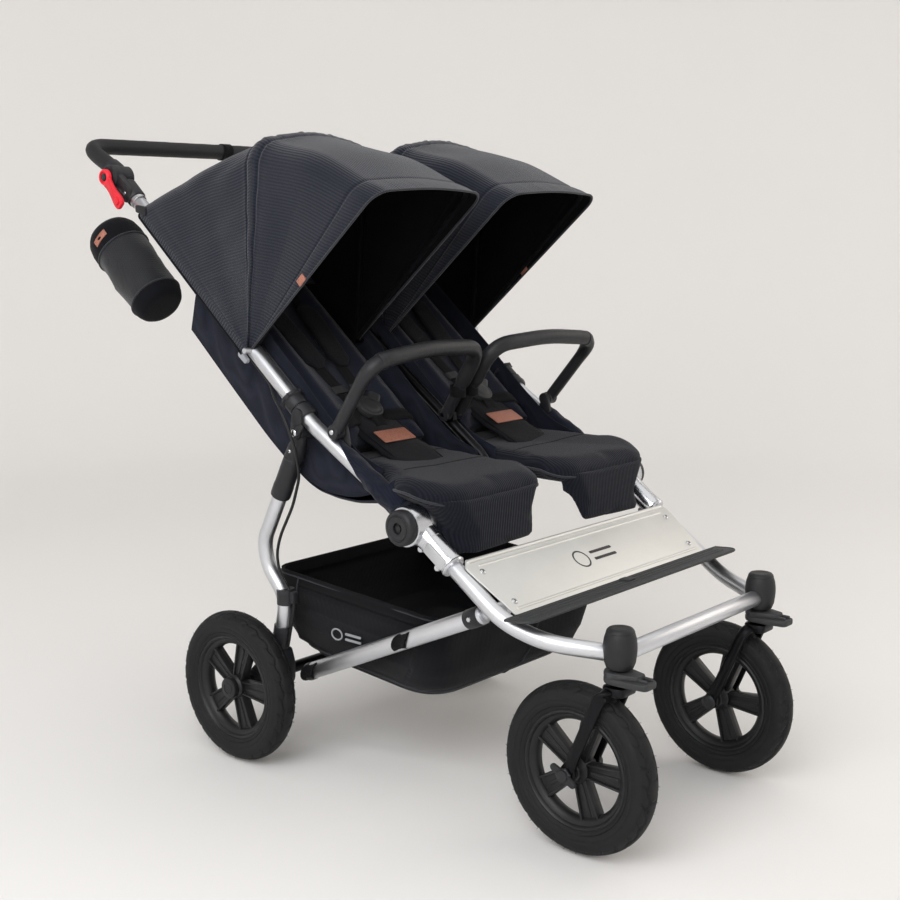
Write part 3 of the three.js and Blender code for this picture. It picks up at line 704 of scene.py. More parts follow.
M = {
    "tyre": rubber("tyre", (0.0065, 0.0067, 0.0075)),
    "rim": plastic("rim", (0.011, 0.011, 0.012), 0.4),
    "fork": metal("fork", (0.02, 0.02, 0.022), 0.34),
    "steel": metal("steel", (0.5, 0.5, 0.51), 0.3),
    "screw": metal("screw", (0.62, 0.63, 0.65), 0.22),
    "lock": plastic("lock", (0.034, 0.035, 0.037), 0.55, 1500, 0.0002),
    "silver": metal("silver", (0.66, 0.67, 0.70), 0.36, (1, 0.12, 0.12)),
    "cast": metal("cast", (0.62, 0.63, 0.66), 0.2, (1, 1, 1), 0.00005, 0.1),
    "brushed": metal("brushed", (0.6, 0.61, 0.63), 0.42, (0.06, 1, 1)),
    "plate": metal("plate", (0.72, 0.72, 0.70), 0.5, (0.05, 1, 1)),
    "joint": plastic("joint", (0.016, 0.0165, 0.019), 0.42),
    "socket": plastic("socket", (0.30, 0.31, 0.34), 0.45),
    "cap": plastic("cap", (0.015, 0.0155, 0.017), 0.5),
    "foam": foam("foam", (0.0135, 0.0135, 0.015)),
    "leather": leather("leather", (0.016, 0.0165, 0.0185)),
    "red": plastic("red", (0.68, 0.02, 0.035), 0.33, 2200, 0.00004),
    "cable": rubber("cable", (0.012, 0.012, 0.013), 0.45),
    "canopy": cloth("canopy", NAVY, NAVY_CREST_HIGHLIGHT_AND_WEAR, 0.0048),
    "lining": cloth("lining", (0.0035, 0.0035, 0.0045), (0.007, 0.007, 0.009), 0.002, depth=0.0002,
                    sheen=0.02),
    "seat": cloth("seat", (0.005, 0.0058, 0.0095), (0.017, 0.019, 0.029), 0.0042, "object", sheen=0.1),
    "shell": cloth("shell", (0.007, 0.0085, 0.016), (0.016, 0.0185, 0.033), 0.0022, "object", 0.0003,
                   sheen=0.12),
    "panel": cloth("panel", (0.004, 0.0043, 0.006), (0.009, 0.0095, 0.0125), 0.0012, "object", 0.0002,
                   sheen=0.06),
    "basket": cloth("basket", (0.005, 0.0053, 0.007), (0.012, 0.0125, 0.016), 0.0016, depth=0.0003,
                    sheen=0.08),
    "hem": webbing("hem", (0.0045, 0.0047, 0.006)),
    "strap": webbing("strap", (0.004, 0.0042, 0.0052)),
    "piping": cloth("piping", (0.024, 0.025, 0.031), (0.042, 0.044, 0.054), 0.0012, depth=0.0002),
    "copper": patch_leather("copper", (0.42, 0.175, 0.12), (0.16, 0.07, 0.055)),
    "net": mesh_cloth("net", (0.004, 0.0042, 0.0052), (0.009, 0.0098, 0.013)),
    "mark": plastic("mark", (0.03, 0.03, 0.032), 0.5),
    "thread": cloth("thread", (0.30, 0.31, 0.33), (0.42, 0.43, 0.45), 0.0012, depth=0.0002),
    "disc": plastic("disc", (0.020, 0.0205, 0.0215), 0.42),
}

# ------------------------------------------------------------------ wheels
TREAD_PITCH = 26
TREAD_DEPTH = 2.9
TREAD_BLOCK = 27
SHOULDER_X = 8
SHOULDER_R = 121
TYRE_SIDE = ((13, 86.5), (17, 89), (19.2, 92), (19.8, 94.5), (18.9, 95.6), (20.2, 97), (21.2, 101),
             (21.7, 103.4),
             (21.1, 104.6), (21.8, 106), (22, 110), (21.6, 114), (20.4, 118.5), (19.2, SHOULDER_R))
TYRE_TREAD = tuple((x, SHOULDER_R + 8 * math.cos(math.pi / 2 * abs(x) / 18.4) ** 0.8)
                   for x in spread(18, 0, 13))


def groove(distance, half_width):
    """1 in the middle of a groove, 0 outside it."""
    return 1 - smooth(distance / half_width) if distance < half_width else 0.0


def tread(x, turn, r):
    """How deep the pattern is cut at a point of the tyre, in millimetres."""
    phase = turn * TREAD_PITCH
    saw = abs((phase % 1) - 0.5) * 2
    depth = groove(abs(abs(x) - SHOULDER_X - 4.6 * saw), 1.9)
    if abs(x) > SHOULDER_X:
        lean = (phase + math.copysign((abs(x) - SHOULDER_X) / 26, x)) % 1
        depth = max(depth, groove(min(lean, 1 - lean) * TREAD_BLOCK, 2.2))
    half_step = (phase + 0.5) % 1
    if abs(x) < 5:
        depth = max(depth, 0.6 * groove(min(half_step, 1 - half_step) * TREAD_BLOCK, 1.8))
    if SHOULDER_R - 4 < r < SHOULDER_R:
        rib = (phase * 4) % 1
        depth = max(depth, 0.4 * groove(min(rib, 1 - rib) * 7, 2))
    return depth * TREAD_DEPTH


def tyre_geo(centre, segments=300):
    side = list(TYRE_SIDE)
    profile = [(-x, r) for x, r in side] + [(-x, r) for x, r in TYRE_TREAD]
    profile += [(x, r) for x, r in TYRE_TREAD[-2::-1]] + [(x, r) for x, r in side[::-1]]
    points, faces, uv = [], [], []
    m = len(profile)
    for i in range(segments):
        t = 2 * math.pi * i / segments
        for j, (x, r) in enumerate(profile):
            cut = tread(x, i / segments, r) if r > SHOULDER_R - 5 else 0
            points.append((centre[0] + x, centre[1] + (r - cut) * math.cos(t),
                           centre[2] + (r - cut) * math.sin(t)))
            uv.append((j * 3.0, r * t))
    for i in range(segments):
        for j in range(m):
            a, b = i * m + j, ((i + 1) % segments) * m + j
            k = (j + 1) % m
            faces.append((a, b, b - j + k, a - j + k))
    return Geo(points, faces, uv)


def hair(centre, count=64):
    """Moulding whiskers on both shoulders of the tread."""
    made = Geo()
    for i in range(count):
        t = 2 * math.pi * (i + 0.37 * math.sin(5.0 * i)) / count
        x = (17.5 if i % 2 else -17.5) + 1.5 * math.sin(3.1 * i)
        out = Vector((0.35 * math.copysign(1, x), math.cos(t + 0.25), math.sin(t + 0.25))).normalized()
        root = Vector((centre[0] + x, centre[1] + SHOULDER_R * math.cos(t),
                       centre[2] + SHOULDER_R * math.sin(t)))
        made.add(sweep([root, root + out * 3.2], oval(0.45, sides=5), grow=lambda k: 1 - 0.6 * k))
    return made


def spoke_geo(centre, turn):
    """One broad spoke: a web with a raised edge along each side."""
    c, s = math.cos(turn), math.sin(turn)

    def placed(a, b, h):
        return (centre[0] + h, centre[1] + a * c - b * s, centre[2] + a * s + b * c)

    web = corner_rounded([(-11, 12), (11, 12), (17.5, 78), (-17.5, 78)], 3, 3)
    made = slab(web, placed, -5.5, 5.5, 1.5)
    for g in (-1, 1):
        edge = [(g * 11, 12), (g * 17.5, 79), (g * 13.2, 79), (g * 7.5, 12)]
        made.add(slab(edge, placed, -9, 9, 1.6))
    middle = corner_rounded([(-2, 22), (2, 22), (3.4, 72), (-3.4, 72)], 1.5, 2)
    return made.add(slab(middle, placed, -7, 7, 1.2))


RIM_R, SPOKES, SPOKE_TURN = 87.6, 5, 0.3


def rim_geo(centre, rear):
    r = RIM_R
    ring = [(-15.5, r), (-17, r + 1.5), (-18.3, r - 1), (-17, r - 3.2), (-13, r - 5), (-11, r - 9.5),
            (-6, r - 14),
            (0, r - 15), (6, r - 14), (11, r - 9.5), (13, r - 5), (17, r - 3.2), (18.3, r - 1),
            (17, r + 1.5), (15.5, r), (0, r), (-15.5, r)]
    made = lathe(ring, centre, segments=96)
    hub = [(-23, 0), (-23, 13), (-21.5, 14.6), (-16, 15.4), (-12, 19), (-10.5, 20.5), (10.5, 20.5),
           (12, 19), (16, 15.4),
           (21.5, 14.6), (23, 13), (23, 0)]
    made.add(lathe(hub, centre, segments=48))
    for i in range(SPOKES):
        made.add(spoke_geo(centre, 2 * math.pi * i / SPOKES + SPOKE_TURN))
    if rear:
        made.add(lathe(barrel(14, 24.5, 18, 2.5), centre, segments=40))
        made.add(lathe([(24, 0), (24, 10.5), (25.6, 9.6), (25.6, 8.6), (24.8, 8.4), (24.8, 0)], centre,
                       segments=32))
    return made


def valve(centre):
    """Valve stem and its cap, standing in from the rim."""
    out = Vector((0, math.cos(2.0), math.sin(2.0)))
    c = Vector(centre) + Vector((4, 0, 0))
    stem = rod([c + out * 76, c + out * 52], 2.6, sides=12)
    cap = rod([c + out * 57, c + out * 47], 3.8, sides=10)
    return stem.add(cap)


def make_wheels():
    for place_name, x, (y, z), body in (("front", FRONT_X, FRONT_AXLE, "front_wheel_{}"),
                                        ("rear", REAR_X, REAR_AXLE, "rear_wheel_{}")):
        tyre = tyre_geo((x, y, z)).add(hair((x, y, z)))
        rim = rim_geo((x, y, z), place_name == "rear").add(valve((x, y, z)))
        for side, g in SIDES:
            dress(f"{place_name}_tyre_{side}", body.format(side), "tyre_rubber", tyre, M["tyre"], g, 50)
            dress(f"{place_name}_rim_{side}", body.format(side), "rim_plastic", rim, M["rim"], g)


# ------------------------------------------------------------------ casters
BLADE_OUT = 32.5


def fork_geo():
    y, z = FRONT_AXLE
    made = Geo()
    for g in (-1, 1):
        path = rounded([(FRONT_X + g * 4, SWIVEL_Y + 2, 263), (FRONT_X + g * 32, SWIVEL_Y + 8, 262),
                        (FRONT_X + g * BLADE_OUT, y - 6, z + 14), (FRONT_X + g * BLADE_OUT, y, z)], 30)
        made.add(sweep(path, oval(5.6, 9.5), side=lambda i,
                       n=len(path): (1, 0, 0) if i > 9 else (0.55, 0.1, -0.8)))
        plate = link((y, z), (y - 7, z + 18), 13, 8)
        made.add(slab(plate, side_view, FRONT_X + g * BLADE_OUT - 4, FRONT_X + g * BLADE_OUT + 4, 1.5))
    crown = corner_rounded([(-20, -18), (20, -18), (24, 0), (20, 18), (-20, 18), (-24, 0)], 9)
    made.add(slab(crown, on_swivel, 256, 270, 3))
    made.add(lathe([(262, 0), (262, 12), (292.5, 12), (292.5, 0)], (FRONT_X, SWIVEL_Y, 0), (0, 0, 1), 32))
    return made


def axle_geo():
    """Axle with a domed nut on each end, and a wing nut on the outer one."""
    y, z = FRONT_AXLE
    made = rod([(FRONT_X - 43, y, z), (FRONT_X + 43, y, z)], 6, sides=20)
    for g in (-1, 1):
        made.add(lathe([(0, 0), (0, 11), (1.5, 12), (4, 12), (6.5, 9.5), (7.5, 5), (7.5, 0)],
                       (FRONT_X + g * 36.8, y, z), (g, 0, 0), 6 if g > 0 else 32, slot=1))
    return made


def wing_geo():
    """Plastic grip that turns the axle's quick release."""
    y, z = FRONT_AXLE
    made = Geo()
    for turn in (0.5, 0.5 + math.pi):
        tip = (y + 19 * math.cos(turn), z + 19 * math.sin(turn))
        made.add(slab(link((y, z), tip, 8, 5.5), side_view, FRONT_X + 38.5, FRONT_X + 44, 1.6))
    made.add(lathe(barrel(38.2, 46.5, 9.5, 2), (FRONT_X, y, z), segments=32))
    return made


def on_swivel(a, b, h):
    return (FRONT_X + a, SWIVEL_Y + b, h)


def lock_geo():
    """Wedge-shaped foot lever that pins the swivel, with rails along its tongue; the slot between them is a
    separate dark patch of painted shade.
    """
    arc = [(22.5 * math.cos(t), 22.5 * math.sin(t)) for t in spread(math.pi * 0.06, math.pi * 0.94, 16)]
    outline = corner_rounded(arc + [(-20, -24), (-15, -54), (15, -54), (20, -24)], [0] * 16 + [6, 8, 8, 6])
    made = slab(outline, on_swivel, 273, 283, 2.5)
    upper = corner_rounded(arc + [(-16, -18), (-10, -38), (10, -38), (16, -18)], [0] * 16 + [5, 6, 6, 5])
    made.add(slab(upper, on_swivel, 281, 291, 3))
    for g in (-1, 1):
        rail = corner_rounded([(g * 5, -22), (g * 5, -50), (g * 9, -50), (g * 9, -22)], 1.5, 3)
        made.add(slab(rail, on_swivel, 282, 287.5, 1.4))
    return made


def slot_shade_geo():
    # Painted shade: a thin dark patch that stands where the slot in the lever's tongue would be.
    slot = corner_rounded([(-4.6, -22), (4.6, -22), (4.6, -47), (-4.6, -47)], 3, 4)
    return slab(slot, on_swivel, 281, 283.6, 0.5)


def make_casters():
    fork, axle, wing, lock, dark = fork_geo(), axle_geo(), wing_geo(), lock_geo(), slot_shade_geo()
    for side, g in SIDES:
        caster = f"caster_{side}"
        dress(f"front_fork_{side}", caster, "fork_steel", fork, M["fork"], g)
        dress(f"front_axle_{side}", caster, "axle_steel", axle, [M["steel"], M["joint"]], g)
        extra(f"axle_wing_{side}", caster, "joint_plastic", wing, M["joint"], g)
        dress(f"swivel_lock_{side}", f"swivel_lock_{side}", "lever_plastic", lock, M["lock"], g)
        # Painted shade of the slot in the lock's tongue.
        extra(f"lock_slot_shade_{side}", f"swivel_lock_{side}", "rim_plastic", dark, M["rim"], g)


# ------------------------------------------------------------------ front frame
SIDE_TUBE = [at(270, down(63)), (270, -372, 346), (246, -432, 321), (202, -515, 313)]
PLATE_SLOPE = FRONT_DOWN + math.pi
PLATE_CENTRE = (-341, 388)
PLATE_HALF, PLATE_LOW, PLATE_HIGH = 56, 256, 272
KICK_LENGTH, KICK_HALF, KICK_RISE = 50, 290, 0.09
KICK_START = towards(PLATE_CENTRE, PLATE_SLOPE, -PLATE_HALF - 1)


def on_plate(a, b, h):
    """a across, b up the slope, h above the plate's top face."""
    c, s = math.cos(PLATE_SLOPE), math.sin(PLATE_SLOPE)
    return (a, PLATE_CENTRE[0] + b * c - h * s, PLATE_CENTRE[1] + b * s + h * c)


def on_kick(a, b, h):
    c, s = math.cos(-KICK_RISE), math.sin(-KICK_RISE)
    return (a, KICK_START[0] + b * c - h * s, KICK_START[1] + 1.4 + b * s + h * c)


def screw_geo(centre, axis, radius=5, slot=0):
    """Domed screw head with a cross recess, the recess in the slot after its own: a dark cross laid on the
    dome as painted shade of the recess.
    """
    n = Vector(axis).normalized()
    side = n.orthogonal().normalized()
    other = n.cross(side)
    c = Vector(centre)
    made = lathe([(-1, radius), (0.6, radius), (1.6, radius * 0.8), (2.2, radius * 0.4), (2.3, 0)], c, n,
                 24, slot)
    # Painted shade: the cross recess is a dark cross standing on the dome, not cut into it.
    for u, v in ((side, other), (other, side)):
        made.add(slab([(-radius * 0.5, -0.5), (radius * 0.5, -0.5), (radius * 0.5, 0.5),
                       (-radius * 0.5, 0.5)],
                      lambda a, b, h, u=u, v=v: c + u * a + v * b + n * h, 1.5, 2.45, 0.1, slot + 1))
    return made


def cap_geo():
    """Barrel over the swivel axis: swelling sides, a shallow groove, a soft flat top."""
    profile = [(294, 0), (294, 18), (295.5, 19.5), (303, 22.3), (313, 23.7), (322, 24.3), (330, 24),
               (338, 22.8),
               (344.5, 20.8), (345.5, 20.2), (346.3, 20.5), (349, 19.4), (351.2, 17.4), (352, 14.5),
               (351.4, 10), (351.2, 0)]
    return lathe(profile, (FRONT_X, SWIVEL_Y, 0), (0, 0, 1), 56)


SLEEVE_X = 270


def casting_geo():
    """Polished hinge casting: ring, throat, sleeve with a brushed panel, two bosses below."""
    x0, x1 = 264, 296
    made = lathe([(x0, 0), (x0, 28.8), (x0 + 2.5, 31), (x1 - 3, 31), (x1 - 0.8, 29.8), (x1, 27.5), (x1, 0)],
                 at(0, HUB), segments=64)
    path = [at(SLEEVE_X, down(d)) for d in (16, 30, 42, 58, 80, 90.5, 93)]
    widths = (21.5, 19.6, 18.4, 17.9, 17.9, 18.6, 17.6)
    made.add(sleeve_along(path, widths))
    for d, r in ((40, 18.8), (90, 19.4)):
        made.add(sleeve_along([at(SLEEVE_X, down(d + step)) for step in (-2, 0, 2)], (r - 1.1, r, r - 1.1)))
    for d in (34, 74):
        y, z = towards(down(d), FRONT_DOWN + math.pi / 2, 17)
        made.add(lathe([(-11, 0), (-11, 4.2), (-9.5, 5.2), (9.5, 5.2), (11, 4.2), (11, 0)],
                       (SLEEVE_X, y, z), segments=20))
    panel = corner_rounded([(43, -9), (86, -9), (86, 9), (43, 9)], 4, 4)

    def on_sleeve(a, b, h):
        y, z = towards(down(a), FRONT_DOWN - math.pi / 2, b)
        return (SLEEVE_X + h, y, z)

    return made.add(slab(panel, on_sleeve, 15, 18.6, 0.5, slot=1))


def cover_geo():
    """Round black cover of the hinge with a hex recess and a concentric groove; the hex recess is a dark hex
    prism in a round recess, painted shade of the socket.
    """
    x = 296.3
    profile = [(x, 0), (x, 26.5), (x + 1, 27.4), (x + 9.5, 27.4), (x + 12, 26), (x + 13.6, 23.6),
               (x + 14.2, 20.5),
               (x + 13.2, 19.6), (x + 13.2, 18.6), (x + 14.4, 17.8), (x + 14.6, 9.5), (x + 14.1, 8.8),
               (x + 9.5, 8.2), (x + 9.5, 0)]
    made = lathe(profile, at(0, HUB), segments=64)
    # Painted shade: a dark hex prism where the hex socket would be.
    hex_shade = lathe([(x + 9, 0), (x + 9, 5.6), (x + 12.4, 5.2), (x + 12.4, 0)], at(0, HUB), segments=6,
                    slot=1)
    return made.add(hex_shade)


def plate_geo():
    outline = corner_rounded([(-PLATE_LOW, -PLATE_HALF), (PLATE_LOW, -PLATE_HALF),
                              (PLATE_HIGH, PLATE_HALF - 10),
                              (PLATE_HIGH - 12, PLATE_HALF), (-PLATE_HIGH + 12, PLATE_HALF),
                              (-PLATE_HIGH, PLATE_HALF - 10)],
                             [3, 3, 12, 10, 10, 12])
    made = slab(outline, on_plate, -3, 0, 0.8)
    lip = [on_plate(a, PLATE_HALF - 2.5, -1.5) for a in spread(-PLATE_HIGH + 13, PLATE_HIGH - 13, 9)]
    made.add(sweep(lip, oval(4.2, 4.2, 18)))
    for b, r in ((-PLATE_HALF + 9, 1.5), (PLATE_HALF - 14, 1.2)):
        bead = [on_plate(a, b, -0.4) for a in spread(-PLATE_LOW + 12, PLATE_LOW - 12, 9)]
        made.add(sweep(bead, oval(2.6, r, 14),
                       side=tuple(Vector(on_plate(0, 1, 0)) - Vector(on_plate(0, 0, 0)))))
    return made


def plate_mark():
    """Plain generic mark: a ring beside two bars."""
    made = Geo()
    middle = Vector(on_plate(-34, 0, 0.1))
    points = [Vector(on_plate(-34 + 16 * math.cos(t), 16 * math.sin(t), 0.1)) for t in full_turn(48)]
    made.add(sweep(points, oval(1.5, 0.35, 8), side=lambda i: points[i] - middle, loop=True))
    for b in (7, -7):
        bar = corner_rounded([(-6, b - 2.6), (52, b - 2.6), (52, b + 2.6), (-6, b + 2.6)], 2, 4)
        made.add(slab(bar, on_plate, -0.1, 0.4, 0.1))
    return made


def kick_geo():
    corners = [(-KICK_HALF, -2), (-KICK_HALF, -KICK_LENGTH), (KICK_HALF, -KICK_LENGTH), (KICK_HALF, -2)]
    outline = corner_rounded(corners, [2, 26, 26, 2], 10)
    made = slab(outline, on_kick, -3, 0, 1)
    rim = [on_kick(a, b, -1.4) for a, b in inset(anticlockwise(outline), 2.2)]
    made.add(sweep(rim, oval(2.4, 2.2, 12), loop=True))
    for b in (-12, -22, -32):
        ridge = [on_kick(a, b, 0) for a in spread(-KICK_HALF + 24, KICK_HALF - 24, 5)]
        made.add(sweep(ridge, oval(1.2, 0.7, 10)))
    clip = corner_rounded([(-9, -6), (-9, -26), (9, -26), (9, -6)], 3, 4)
    return made.add(slab(clip, on_kick, -0.5, 3, 1))


def make_front_frame():
    body = "front_frame"
    tube = rod(SIDE_TUBE, TUBE_R, 60, 32)
    tube.add(rod([at(226, LOWER_PIVOT), at(272, LOWER_PIVOT)], 5, sides=16))
    cap, casting, cover = cap_geo(), casting_geo(), cover_geo()
    bolt = screw_geo(at(224.6, LOWER_PIVOT), (-1, 0, 0), 6)
    for side, g in SIDES:
        dress(f"front_side_tube_{side}", body, "frame_silver", tube, M["silver"], g)
        dress(f"swivel_cap_{side}", body, "joint_plastic", cap, M["cap"], g)
        dress(f"hinge_casting_{side}", body, "casting_polished", casting, [M["cast"], M["brushed"]], g)
        dress(f"hinge_cover_{side}", body, "joint_plastic", cover, [M["joint"], M["rim"]], g)
        extra(f"lower_pivot_bolt_{side}", body, "axle_steel", bolt, [M["screw"], M["rim"]], g)
    cross = rod([(-FRONT_X + 14, SWIVEL_Y, 313), (FRONT_X - 14, SWIVEL_Y, 313)], TUBE_R, 0, 32)
    dress("front_cross_tube", body, "frame_silver", cross, M["silver"])
    dress("footplate", body, "plate_aluminium", plate_geo(), M["plate"])
    extra("plate_mark", body, "lever_plastic", plate_mark(), M["mark"])
    screws = Geo()
    normal = Vector(on_plate(0, 0, 1)) - Vector(on_plate(0, 0, 0))
    for a, b in ((238, -34), (247, 30), (-238, -34), (-247, 30)):
        screws.add(screw_geo(on_plate(a, b, 0.2), normal, 5.2))
    extra("plate_screws", body, "axle_steel", screws, [M["screw"], M["rim"]])
    dress("kick_plate", body, "lever_plastic", kick_geo(), M["lock"])


# ------------------------------------------------------------------ lower frame: side tubes
LOWER_X = 234
LOWER_RUN = angle_of(LOWER_PIVOT, OPEN_PIVOT)
LOWER_END = math.dist(LOWER_PIVOT, OPEN_PIVOT)


def on_lower(d):
    return at(LOWER_X, towards(LOWER_PIVOT, LOWER_RUN, d))


def make_lower_tubes():
    eye = lathe([(-7, 0), (-7, 10), (-6, 11), (6, 11), (7, 10), (7, 0)], at(LOWER_X, LOWER_PIVOT),
                segments=32)
    tube = rod([on_lower(40), on_lower(LOWER_END - 14)], 14, sides=32)
    end = rod([on_lower(4), on_lower(48)], 9.5, sides=24)
    collar = rod([on_lower(46), on_lower(74)], 15.3, sides=32, slot=1)
    plug = rod([on_lower(LOWER_END - 26), on_lower(LOWER_END - 13)], 15, sides=32, slot=1)
    button = lathe([(0, 0), (0, 4), (1.6, 3.4), (2.2, 0)], tuple(Vector(on_lower(60)) + Vector((15, 0, 0))),
                   (1, 0, 0), 20, slot=2)
    for side, g in SIDES:
        dress(f"lower_side_tube_{side}", "lower_frame", "frame_silver",
              merged(eye, tube, end, collar, plug, button),
              [M["silver"], M["joint"], M["screw"]], g)


# ------------------------------------------------------------------ rear legs and axle
SOCKET_END = (99, 468)
LEG_RUN = angle_of(LEG_PIVOT, SOCKET_END)


def on_leg(u):
    return at(TUBE_X - 0.02 * u, towards(LEG_PIVOT, LEG_RUN, u))


LEG_PATH = [on_leg(100), on_leg(222), (258, 142, 338), (256, 101, 291), (254, 121, 205)]


def socket_geo():
    eye = lathe([(-11, 0), (-11, 9.3), (-10, 10.3), (10, 10.3), (11, 9.3), (11, 0)], at(268, LEG_PIVOT),
                segments=32)
    stations = [(3, 10), (14, 10.6), (22, 13), (30, 15.4), (60, 16.3), (104, 16.4), (106, 17), (124, 17),
                (127, 16.4), (128, 15.4)]
    sleeve = sleeve_along([on_leg(u) for u, _ in stations], [radius for _, radius in stations])
    seam = sleeve_along([on_leg(u) for u in (50, 51.2, 52.4)], (16.2, 16.9, 16.2))
    bolt = screw_geo(tuple(Vector(on_leg(36)) + Vector((15.2, 0, 0))), (1, 0, 0), 3.4, 1)
    return merged(eye, sleeve, seam, bolt)


def axle_bracket_geo():
    outline = corner_rounded([(98, 140), (98, 178), (106, 201), (137, 201), (152, 184), (190, 150),
                              (206, 129),
                              (196, 110), (172, 106), (140, 122)], [14, 6, 5, 5, 14, 10, 12, 10, 10, 14])
    made = slab(outline, side_view, 240.5, 261.5, 2.5)
    made.add(lathe(barrel(-12, 12.5, 19, 2), at(251, REAR_AXLE), segments=40))
    collar = sweep([(254.4, 112, 240), (254.2, 116, 222), (254, 121, 203)], oval(15.4, 15.4, 32),
                   side=(1, 0, 0))
    rib = slab(link((120, 165), (165, 135), 5, 5), side_view, 260.5, 263.2, 1)
    bolt = screw_geo((262, 121, 186), (1, 0, 0), 4, 1)
    return merged(made, collar, rib, bolt)


def make_rear_legs():
    body = "rear_legs"
    leg = rod(LEG_PATH, TUBE_R, 44, 32)
    # Clamp that holds the cable at the bend, with its ear.
    clamp = sweep([(256.4, 103, 306), (256.2, 102, 293), (256, 102.5, 280)], oval(15.2, 15.2, 32),
                  side=(1, 0, 0), slot=1)
    ear = slab(corner_rounded([(78, 284), (92, 284), (92, 304), (78, 304)], 4), side_view, 250, 262, 1.5,
               slot=1)
    leg.add(clamp, ear)
    socket, bracket = socket_geo(), axle_bracket_geo()
    for side, g in SIDES:
        dress(f"rear_leg_{side}", body, "frame_silver", leg, [M["silver"], M["joint"]], g)
        dress(f"leg_socket_{side}", body, "joint_plastic", socket, [M["joint"], M["screw"], M["rim"]], g)
        dress(f"axle_bracket_{side}", body, "fork_steel", bracket, [M["joint"], M["screw"], M["rim"]], g)
    shoulder = 265
    profile = [(-315.5, 0), (-315.5, 5), (-314.5, 6), (-shoulder, 6), (-shoulder, 9.2), (-shoulder + 1, 10.2),
               (shoulder - 1, 10.2), (shoulder, 9.2), (shoulder, 6), (314.5, 6), (315.5, 5), (315.5, 0)]
    dress("rear_axle", body, "fork_steel", lathe(profile, at(0, REAR_AXLE), segments=32), M["fork"])


# ------------------------------------------------------------------ upper frame
UPPER_PATH = [at(TUBE_X, towards(HUB, LOWER_SLOPE, 34)), at(TUBE_X, TUBE_BEND),
              at(TUBE_X, tube_point(HANDLE_RUN - 34))]
SEAT_CROSS = (-125, 486)
BACK_CROSS = (436, 912)


def on_tube(u, out=0.0, up=0.0):
    """A point u along the upper tube, moved out in X and up at right angles to the tube."""
    y, z = tube_point(u)
    return (TUBE_X + out, y - up * math.sin(UPPER_SLOPE), z + up * math.cos(UPPER_SLOPE))


def upper_tube_geo():
    made = rod(UPPER_PATH, TUBE_R, 25, 36)
    made.add(slab(link(HUB, towards(HUB, LOWER_SLOPE, 62), 26.5, 12), side_view, 252, 263.3, 2))
    made.add(lathe([(252, 0), (252, 9), (290, 9), (290, 0)], at(0, HUB), segments=32))
    made.add(lathe([(TUBE_X, 0), (TUBE_X, 5), (292, 5), (293.5, 4), (293.5, 0)], at(0, CANOPY_PIVOT),
                   segments=24))
    made.add(slab(link((BAR_PIVOT[0], BAR_PIVOT[1] - 30), BAR_PIVOT, 8, 7), side_view, 256.2, 262, 1, slot=1))
    made.add(lathe([(256, 0), (256, 4), (285, 4), (286, 3), (286, 0)], at(0, BAR_PIVOT), segments=20))
    # Bright cap ring where the tube enters the handle joint.
    made.add(sweep([on_tube(HANDLE_RUN - 73), on_tube(HANDLE_RUN - 67)], oval(14.2, 14.2, 32), slot=2))
    # Long rail on the inner side of the tube that the lock collar runs on.
    rail = [on_tube(u, -13.5, 3) for u in (36, 60, 120, 176, 184)]
    sizes = (0.8, 1, 1, 1, 0.5)
    made.add(sweep(rail, strap(13, 7), side=(0, -math.sin(UPPER_SLOPE), math.cos(UPPER_SLOPE)),
                   grow=lambda i: sizes[i], slot=1))
    return made


def pivot_bracket_geo():
    made = sleeve_along([on_tube(u) for u in (11, 12.5, 31, 32.5)], (16.8, 18, 18, 16.8), 36)
    for low, high in ((281, 286.5), (249.5, 255)):
        made.add(slab(link(tube_point(20), LEG_PIVOT, 12, 11.5), side_view, low, high, 1.6))
    made.add(lathe([(249.5, 0), (249.5, 5), (288, 5), (288, 0)], at(0, LEG_PIVOT), segments=24))
    # Teardrop boss round the bolt.
    made.add(slab(link(towards(LEG_PIVOT, UPPER_SLOPE + 1.9, 20), LEG_PIVOT, 4.5, 9.5), side_view, 286, 289,
                  1.2))
    bolt = screw_geo(at(288.6, LEG_PIVOT), (1, 0, 0), 6, 1)
    return made.add(bolt)


COLLAR_RIBS, COLLAR_RIB_R = 10, 19.6


def lock_collar_geo():
    stations = [(35, 16), (36.5, 17), (52, 17), (54, 19.6), (59, 20), (60, 19)]
    made = sleeve_along([on_tube(u) for u, _ in stations], [radius for _, radius in stations], 36)
    for t in (2 * math.pi * i / COLLAR_RIBS for i in range(COLLAR_RIBS)):
        out, up = math.cos(t) * COLLAR_RIB_R, math.sin(t) * COLLAR_RIB_R
        made.add(sweep([on_tube(54.5, out, up), on_tube(59.5, out, up)], oval(1.6, 1.6, 8)))
    return made


def handle_joint_geo():
    u = HANDLE_RUN
    made = lathe([(270, 0), (270, 21), (271, 22), (286, 22), (288.3, 20.8), (289, 18.5), (288.4, 17.6),
                  (288.4, 16.5), (289.4, 15.8), (289.6, 9), (289, 8.2), (289, 0)],
                 at(0, HANDLE_PIVOT), segments=56)
    made.add(slab(link(HANDLE_PIVOT, tube_point(u - 50), 17, 15), side_view, 270.5, 284, 2.2))
    stations = [(u - 66, 15.6), (u - 64.5, 16.5), (u - 30, 17), (u - 27, 15.5)]
    made.add(sleeve_along([on_tube(k) for k, _ in stations], [radius for _, radius in stations], 36))
    made.add(lathe([(287, 0), (287, 6.5), (299, 6.5), (300.6, 5.4), (301, 0)], at(0, HANDLE_PIVOT),
                   segments=32))
    bolt = screw_geo(on_tube(u - 48, 15.2, 0), (1, 0, 0), 3.6, 1)
    return made.add(bolt)


